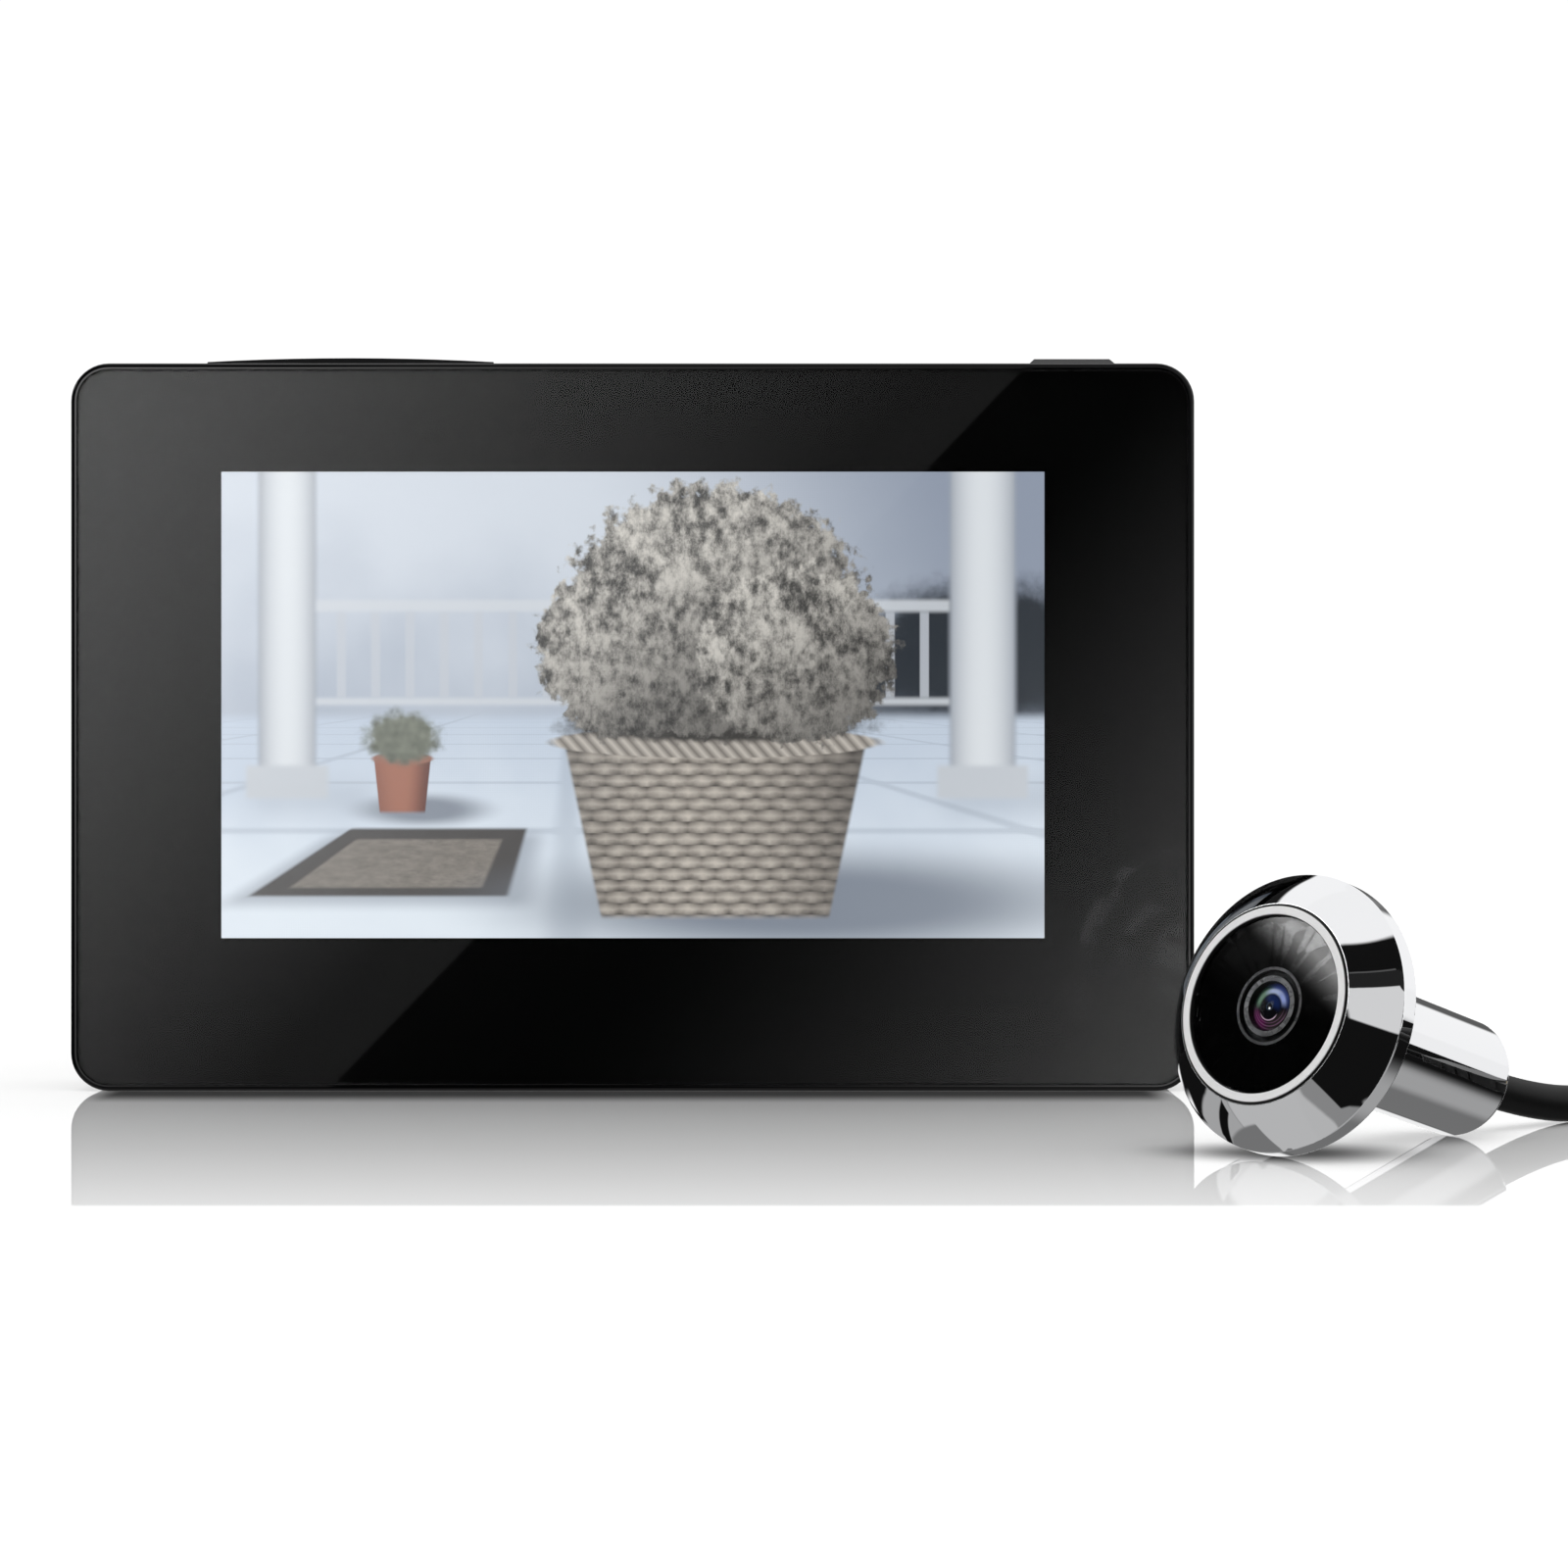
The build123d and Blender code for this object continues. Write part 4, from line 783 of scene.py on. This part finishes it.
# %% [markdown]
# A rubber dome gives way under its key. Each dome is made again as a copy with a mesh of its
# own, hung on the root, and its CAD node is hidden. The table lists each dome's key joint, and a
# give a little more than the key travels.

# %% Domes as copies of their own
# Each row: the dome's node, the key's joint, and how much the dome gives.
GIVES = (
    ("power_dome", "power_key_press", 0.42 * MM),
    ("menu_domes", "menu_rocker_tilt", 0.50 * MM),
)
for name, joint, give in GIVES:
    low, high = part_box(name)
    pad = bpy.data.objects.new(name + "_soft", nodes[name].data.copy())
    bpy.context.scene.collection.objects.link(pad)
    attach(pad, "root")
    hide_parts(name)
    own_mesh(pad)

# %% [markdown]
# Sheet metal shows the direction it was rolled or brushed in, so its noise is stretched along
# one axis. Plating only changes the colour and the gloss. One function makes every sheet metal
# here, from a table.

# %% Metals
# Each row: name, colour, roughness, stretch of the lines along X, Y and Z, size, and pieces.
METALS = (
    ("bracket_steel", (0.62, 0.63, 0.65), 0.36, (1, 1, 14), 0.4, ("mounting_bracket",)),
    ("tinned_steel", (0.60, 0.60, 0.58), 0.42, (14, 1, 1), 0.4, ("backlight_unit",)),
    ("spring_steel", (0.74, 0.73, 0.70), 0.28, (1, 14, 1), 0.4, ("battery_contacts",)),
    ("polished_pin", (0.70, 0.70, 0.70), 0.22, (1, 10, 1), 0.2, ("rocker_pin", "board_screws")),
    ("screw_black", (0.045, 0.045, 0.048), 0.40, (1, 1, 1), 0.3, ("shell_screws",)),
    ("contact_gold", (0.83, 0.62, 0.24), 0.22, (8, 1, 1), 0.2, ("plug_contacts",)),
)
line_depth, cloud_depth, gloss_middle = 0.16, 0.10, 0.12


def sheet_metal(name, colour, roughness, run, size):
    material, tree, shader = finish(name, rgb(*colour), roughness, Metallic=1.0)
    lines = noise(tree, size, 4, run, 0.6)
    clouds = noise(tree, 9 * MM, 3)
    gloss = lines * line_depth + clouds * cloud_depth + (roughness - gloss_middle)
    feed(tree, shader.inputs["Roughness"], gloss)
    darker = rgb(*(c * 0.82 for c in colour))
    feed(tree, shader.inputs["Base Color"], mixed(clouds, darker, rgb(*colour)))
    bump(tree, shader, lines, 0.004 * MM, 0.4)
    return material


for name, colour, roughness, run, size, pieces in METALS:
    dress(sheet_metal(name, colour, roughness, run, size * MM), *pieces)

# %% [markdown]
# The circuit boards are glass cloth under green solder mask, with copper tracks just showing
# through as lighter lines. Two square waves of different width, broken up by noise, look like
# tracks at this size. Chips and sockets are satin plastic like the case, and the ribbon's
# conductors are one more square wave.

# %% Boards
mask_green, track_green = rgb(0.010, 0.075, 0.028), rgb(0.030, 0.19, 0.07)
board, tree, shader = finish("board_green", mask_green, 0.32)
x, y, z = place(tree)
track_noise = noise(tree, 6 * MM, 2)
tracks = rise(comb(x / (1.6 * MM)), 0.30, 0.34) * rise(track_noise, 0.50, 0.52)
cross_tracks = rise(comb(z / (2.1 * MM)), 0.34, 0.38) * rise(track_noise, 0.46, 0.48).flip()
copper = (tracks + cross_tracks).math("MINIMUM", 1.0)
feed(tree, shader.inputs["Base Color"], mixed(copper, mask_green, track_green))
bump(tree, shader, copper, 0.03 * MM, 0.5)
dress(board, "main_board", "key_board", "camera_board")

# %% What the boards carry
chip_black = satin_plastic("chip_black", rgb(0.020, 0.020, 0.021), 0.55, 0.1 * MM)
dress(chip_black, "board_chips")
socket_ivory = satin_plastic("socket_ivory", rgb(0.72, 0.67, 0.54), 0.50, 0.2 * MM)
dress(socket_ivory, "ribbon_socket", "camera_socket")
film_amber, conductor_brown = rgb(0.50, 0.20, 0.03), rgb(0.26, 0.09, 0.02)
ribbon, tree, shader = finish("ribbon_amber", film_amber, 0.25)
conductors = rise(comb(place(tree)[0] / (0.5 * MM)), 0.22, 0.28)
feed(tree, shader.inputs["Base Color"], mixed(conductors, film_amber, conductor_brown))
dress(ribbon, "lcd_ribbon")
sensor_blue, sensor_violet = rgb(0.02, 0.025, 0.04), rgb(0.035, 0.03, 0.05)
sensor, tree, shader = finish("sensor_dark", sensor_blue, 0.08)
sensor_noise = noise(tree, 0.3 * MM, 1)
feed(tree, shader.inputs["Base Color"], mixed(sensor_noise, sensor_blue, sensor_violet))
dress(sensor, "image_sensor")

# %% [markdown]
# A dry cell is a steel can in a shrunk printed sleeve, bare at its nub. The sleeve here is plain
# dark green with a light band at one end. The band is placed by how far along X the point lies.

# %% Dry cells
sleeve_green, band_grey, bare_steel = (
    rgb(0.03, 0.08, 0.055), rgb(0.45, 0.47, 0.44), rgb(0.62, 0.62, 0.60)
)
cell, tree, shader = finish("cell_jacket", sleeve_green, 0.28)
x, y, z = place(tree)
cell_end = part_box("battery_1")[1].x
band = between(x, cell_end - 14 * MM, cell_end - 3 * MM, 0.05 * MM)
bare = rise(x, cell_end - 1.4 * MM, cell_end - 1.3 * MM)
sleeve = mixed(band, sleeve_green, band_grey)
feed(tree, shader.inputs["Base Color"], mixed(bare, sleeve, bare_steel))
feed(tree, shader.inputs["Metallic"], bare)
bump(tree, shader, noise(tree, 2.5 * MM, 3), 0.03 * MM, 0.3)
dress(cell, "battery_1", "battery_2", "battery_3")

# %% [markdown]
# Chrome has no look of its own: it shows the room. A studio puts white panels and black flags
# round a shiny part, and the same is done here in the world, as patches by direction that only
# gloss sees. The camera sees plain white, and matt surfaces get an even soft light. Real panels
# would do as well, but would stand in the way of other views.

# %% World: directions
world = bpy.data.worlds.new("studio")
bpy.context.scene.world = world
world.use_nodes = True
tree = world.node_tree
background = tree.nodes["Background"]
coordinates = tree.nodes.new("ShaderNodeTexCoord")
east, north, upward = xyz(tree, coordinates.outputs["Generated"])
azimuth = east.math("ARCTAN2", north) * (180 / math.pi)
from_west = azimuth + azimuth.math("LESS_THAN", 0.0) * 360.0
height = upward.math("ARCSINE") * (180 / math.pi)
print("azimuth and height ready")

# %% World: white panels and black flags
# Each row: from and to azimuth, from and to height in degrees, brightness, softness in degrees,
# and lean, which is how many degrees the patch climbs for each degree round. Azimuth 0 is +Y,
# 90 is +X. Later rows cover earlier ones.
PATCHES = [
    (-80, 132, -2, 100, 0.98, 2.0, 0),
    (0, 360, 67, 100, 0.95, 1.5, 0),
    (9, 31, 5, 15, 0.11, 3.0, 0.7),
    (-40, -2, 28, 46, 0.012, 1.2, -0.25),
    (-22, 92, -13.5, 0, 0.93, 1.5, 0.25),
    (-12, 22, -30, -6, 0.90, 2.0, 0),
    (0, 360, -100, -45, 0.48, 1.5, 0),
    (-30, 130, -100, -31, 0.17, 4.0, 0),
    (62, 130, -100, -30, 0.36, 9.0, 0),
    (108, 150, -65, -14, 0.36, 3.0, -0.2),
    (138, 185, -100, -14, 0.40, 1.0, -0.9),
    (184, 201, -100, -39.8, 0.25, 0.8, -0.3),
    (190, 226, -100, -31.1, 0.25, 0.8, 1.1),
    (224, 294, -100, -25, 0.49, 2.0, 0),
    (184, 228, -100, -50.4, 0.48, 2.5, 0.9),
    (-66, -28, -44, -21, 0.38, 0.8, 0),
    (-80.5, -42, -100, -39.6, 0.18, 0.8, 0.2),
    (-61.5, -38, -34.6, -29.4, 0.005, 0.5, -0.15),
    (151, 188, 9, 44, 0.68, 0.8, 0.36),
    (148, 192, 44.5, 56, 0.006, 0.3, 0),
    (148, 188, 35.5, 45.5, 0.017, 0.5, 0),
    (153, 190, 45.6, 46.6, 0.09, 0.3, 0),
]
unlit = 0.006
brightness = azimuth * 0.0 + unlit
for left, right, low, high, value, soft, lean in PATCHES:
    turn = from_west if right > 180 else azimuth
    climbed = height - (turn - (left + right) / 2) * lean
    mask = between(climbed, low, high, soft)
    if right - left < 360:
        mask = mask * between(turn, left, right, soft)
    brightness = brightness.toward(value, mask)
print("studio patches", len(PATCHES))

# %% [markdown]
# The flat window looks at one small part of the studio, up to the left. A bright lamp there,
# fading to the side, gives the soft sheen on its upper right. The slope is written in
# millimetres on the window: 2.39 mm for each degree of azimuth and 5.48 mm for each degree of
# height, counted from the direction that the window's middle mirrors to the camera.

# %% World: lamp for the window
middle_azimuth, middle_height = -91.52, 20.78
mm_per_azimuth, mm_per_height = 2.39, 5.48
fade_start, fade_length, fade_power, lamp_power = 3.6, 3.4, 2.2, 4.9
from_middle = (azimuth * -1.0 + middle_azimuth) * mm_per_azimuth
window_slope = from_middle + (height - middle_height) * mm_per_height
fade = ((window_slope - fade_start) / fade_length).math("MAXIMUM", 0.0).math("MINIMUM", 1.0)
glow = rise(height, 20.7, 21.6) * 0.075
lamp_edges = between(azimuth, -100, -86, 2.0) * between(height, 15, 30, 3.0)
lamp = (fade.math("POWER", fade_power) * lamp_power + glow) * lamp_edges
brightness = brightness + lamp
print("lamp towards", middle_azimuth, middle_height)

# %% World: who sees what
# Gloss sees the studio, but not light that has already been scattered by a matt surface. Matt
# surfaces get light that is strongest from straight above, so that shadows gather under what
# stands on the table. Only the table top is a perfect mirror here. Its rays count as singular
# and see plain white, so it stays clean from every side.
paths = tree.nodes.new("ShaderNodeLightPath")
overhead_power, even_light, paper_white = 2.9, 0.17, 1.05


def ray(name):
    """What the Light Path node says of a ray, as a wire."""
    return Wire(tree, paths.outputs[name])


unscattered = rise(ray("Diffuse Depth"), 0.4, 0.6).flip()
is_gloss = ray("Is Glossy Ray").math("MAXIMUM", ray("Is Transmission Ray"))
overhead = upward.math("MAXIMUM", 0.0)
soft_light = overhead * overhead * overhead * overhead * overhead_power + even_light
brightness = brightness.toward(1.0, ray("Is Singular Ray"))
seen = soft_light.toward(brightness, is_gloss * unscattered)
seen = seen.toward(paper_white, ray("Is Camera Ray"))
feed(tree, background.inputs["Color"], rgb(1, 1, 1))
feed(tree, background.inputs["Strength"], seen)
print("world nodes", len(tree.nodes))

# %% [markdown]
# The floor is a white table top with some polish. It mirrors what stands on it, less and less
# towards the front. Gloss on the object doesn't see the floor, because the patches above stand
# for it.

# %% Floor: sheet
reach = 0.45
floor_mesh = bpy.data.meshes.new("floor")
corners = [(-reach, -reach, 0), (reach, -reach, 0), (reach, reach, 0), (-reach, reach, 0)]
floor_mesh.from_pydata(corners, [], [(0, 1, 2, 3)])
floor = bpy.data.objects.new("floor", floor_mesh)
bpy.context.scene.collection.objects.link(floor)
floor.visible_glossy = False
floor.visible_transmission = False
white_top = bpy.data.materials.new("white_top")
white_top.use_nodes = True
floor_mesh.materials.append(white_top)
tree = white_top.node_tree
output = tree.nodes["Material Output"]
tree.nodes.remove(tree.nodes["Principled BSDF"])
x, y, z = place(tree)
print("floor", 2 * reach, "metres square")

# %% [markdown]
# The round flange leans back from its contact with the table, and the screen unit's foot is
# thin, so the light alone leaves little dark there. A painted shadow in the table's colour adds
# some: a soft ellipse under the lens head, and a soft line under the screen unit. It darkens the
# mirror too.

# %% Floor: painted shadow under the two items
contact_x, contact_y, contact_wide, contact_deep = 66.5 * MM, -75.5 * MM, 17 * MM, 12.5 * MM
foot_half_wide, foot_half_deep, foot_soft_x, foot_soft_y = 58.5 * MM, 13 * MM, 3.5 * MM, 11.5 * MM
head_far = distance((x - contact_x) / contact_wide, (y - contact_y) / contact_deep)
head_painted_shadow = rise(head_far, 0.1, 1.0).flip() * 0.9
beside = (x.math("ABSOLUTE") - foot_half_wide).math("MAXIMUM", 0.0) / foot_soft_x
before = (y.math("ABSOLUTE") - foot_half_deep).math("MAXIMUM", 0.0) / foot_soft_y
screen_painted_shadow = rise(distance(beside, before), 0.0, 1.0).flip() * 0.85
painted_shadow = head_painted_shadow.math("MAXIMUM", screen_painted_shadow)
print("shade under the head", 2 * contact_wide, "by", 2 * contact_deep, "metres")

# %% [markdown]
# A mirror under a diffuse coat would need a fitted angle, so the share of mirror simply follows
# the distance from the screen, and fades behind it and to the sides.

# %% Floor: share of mirror
# Each row: Y in mm, and the share of mirror there.
SHARES = [
    (-118.5, 0.0), (-116.5, 0.32), (-95.4, 0.43), (-75.3, 0.52), (-52.6, 0.59), (-26.5, 0.64),
    (9.0, 0.66), (60.0, 0.40), (130.0, 0.0),
]
first, last = SHARES[0][0], SHARES[-1][0]
ramp = tree.nodes.new("ShaderNodeValToRGB")
while len(ramp.color_ramp.elements) < len(SHARES):
    ramp.color_ramp.elements.new(0.5)
for element, (millimetres, value) in zip(ramp.color_ramp.elements, SHARES):
    element.position = (millimetres - first) / (last - first)
    element.color = rgb(value, value, value)
feed(tree, ramp.inputs["Fac"], (y / MM - first) / (last - first))
sideways = rise(x, -140 * MM, -72 * MM) * rise(x, 106 * MM, 190 * MM).flip()
mirror_share = Wire(tree, ramp.outputs["Color"]) * sideways
print("mirror shares", len(SHARES), "from", first, "to", last)

# %% Floor: matt and mirror
matt = tree.nodes.new("ShaderNodeBsdfDiffuse")
# Painted shadow: the matt colour and the mirror's colour both darken under the two items.
feed(tree, matt.inputs["Color"], mixed(painted_shadow, rgb(0.96, 0.96, 0.96), rgb(0.02, 0.02, 0.02)))
mirror = tree.nodes.new("ShaderNodeBsdfAnisotropic")
mirror.inputs["Roughness"].default_value = 0.0
feed(tree, mirror.inputs["Color"], mixed(painted_shadow, rgb(1, 1, 1), rgb(0.05, 0.05, 0.05)))
table = tree.nodes.new("ShaderNodeMixShader")
feed(tree, table.inputs["Fac"], mirror_share)
tree.links.new(matt.outputs[0], table.inputs[1])
tree.links.new(mirror.outputs[0], table.inputs[2])
tree.links.new(table.outputs[0], output.inputs["Surface"])
print("table nodes", len(tree.nodes))

# %% [markdown]
# The sheen across the glass is a soft grey panel with a slanted edge. It belongs to the glass
# alone, so it is an area light linked to that piece, and its nodes give it the slope and the
# fade. It hangs 41 mm before the glass, nearer than the lens head, which would otherwise stand
# in its way and leave a black shape in the glass.

# %% Panel for the glass: place and size
panel_y, panel_power = -0.050, 3.6
glass_y = glass_low.y
glass_margin = 2 * MM
spread = (2 * glass_y - camera_place.y - panel_y) / (glass_y - camera_place.y)


def on_panel(x, z):
    """Where the panel is seen from the camera's place in a mirror at this place on the glass."""
    return tuple(c + (v - c) * spread for v, c in ((x, camera_place.x), (z, camera_place.z)))


left, bottom = on_panel(glass_low.x - glass_margin, glass_low.z - glass_margin)
right, top = on_panel(glass_high.x + glass_margin, glass_high.z + glass_margin)
light = bpy.data.lights.new("glass_panel", "AREA")
light.shape = "RECTANGLE"
light.size, light.size_y = right - left, top - bottom
light.energy = panel_power * math.pi * light.size * light.size_y
light.use_nodes = True
print("glass panel", round(light.size, 3), "by", round(light.size_y, 3))

# %% [markdown]
# The edge of the sheen runs over the glass from 45 mm right of the middle at its top to 35 mm
# left at its foot. To its left the sheen starts at once and grows towards the glass's corner.
# To its right the glass stays dark for a while, and a second, weaker glow fills the lower right
# corner. Everything is worked out in millimetres from that edge.

# %% Panel for the glass: sheen
edge_top, edge_foot = (45.3 * MM, 83.5 * MM), (-35.0 * MM, 0.2 * MM)
sheen_base, sheen_start, sheen_growth = 0.114, 7.0, 0.01565
corner_start, corner_reach, corner_power, corner_most = 11.0, 44.0, 1.5, 0.43
tree = light.node_tree
emission = tree.nodes["Emission"]
geometry = tree.nodes.new("ShaderNodeNewGeometry")
x, y, z = xyz(tree, geometry.outputs["Position"])
upper, lower = Vector(on_panel(*edge_top)), Vector(on_panel(*edge_foot))
slope = (upper - lower).normalized()
outward = ((x - lower.x) * -slope.y + (z - lower.y) * slope.x) / (spread * MM)
glass_x = (x - camera_place.x) / spread + camera_place.x
sheen = (outward - sheen_start).math("MAXIMUM", 0.0) * sheen_growth
sheen = sheen * (glass_x * -6.6 + 0.63) + sheen_base
corner = (outward * -1.0 - corner_start).math("MAXIMUM", 0.0) / corner_reach
rightwards = ((glass_x + 10 * MM) / (67 * MM)).math("MAXIMUM", 0.0)
corner = corner.math("POWER", corner_power) * rightwards * corner_most
feed(tree, emission.inputs["Strength"], corner.toward(sheen, rise(outward, -0.15, 0.15)))
print("sheen edge from", edge_foot, "to", edge_top)

# %% Panel for the glass: hung and linked
glass_light = bpy.data.objects.new("glass_panel", light)
glass_light.location = ((left + right) / 2, panel_y, (top + bottom) / 2)
glass_light.rotation_euler = (math.radians(90), 0, 0)
bpy.context.scene.collection.objects.link(glass_light)
glass_light.visible_camera = False
glass_group = bpy.data.collections.new("lit_by_glass_panel")
glass_group.objects.link(cover_glass)
glass_group.objects.link(nodes["front_frame"])
glass_light.light_linking.receiver_collection = glass_group

# %% [markdown]
# The photograph's whites are pure and its blacks deep, which is the plain Standard view.

# %% Finish
bpy.context.scene.view_settings.view_transform = "Standard"
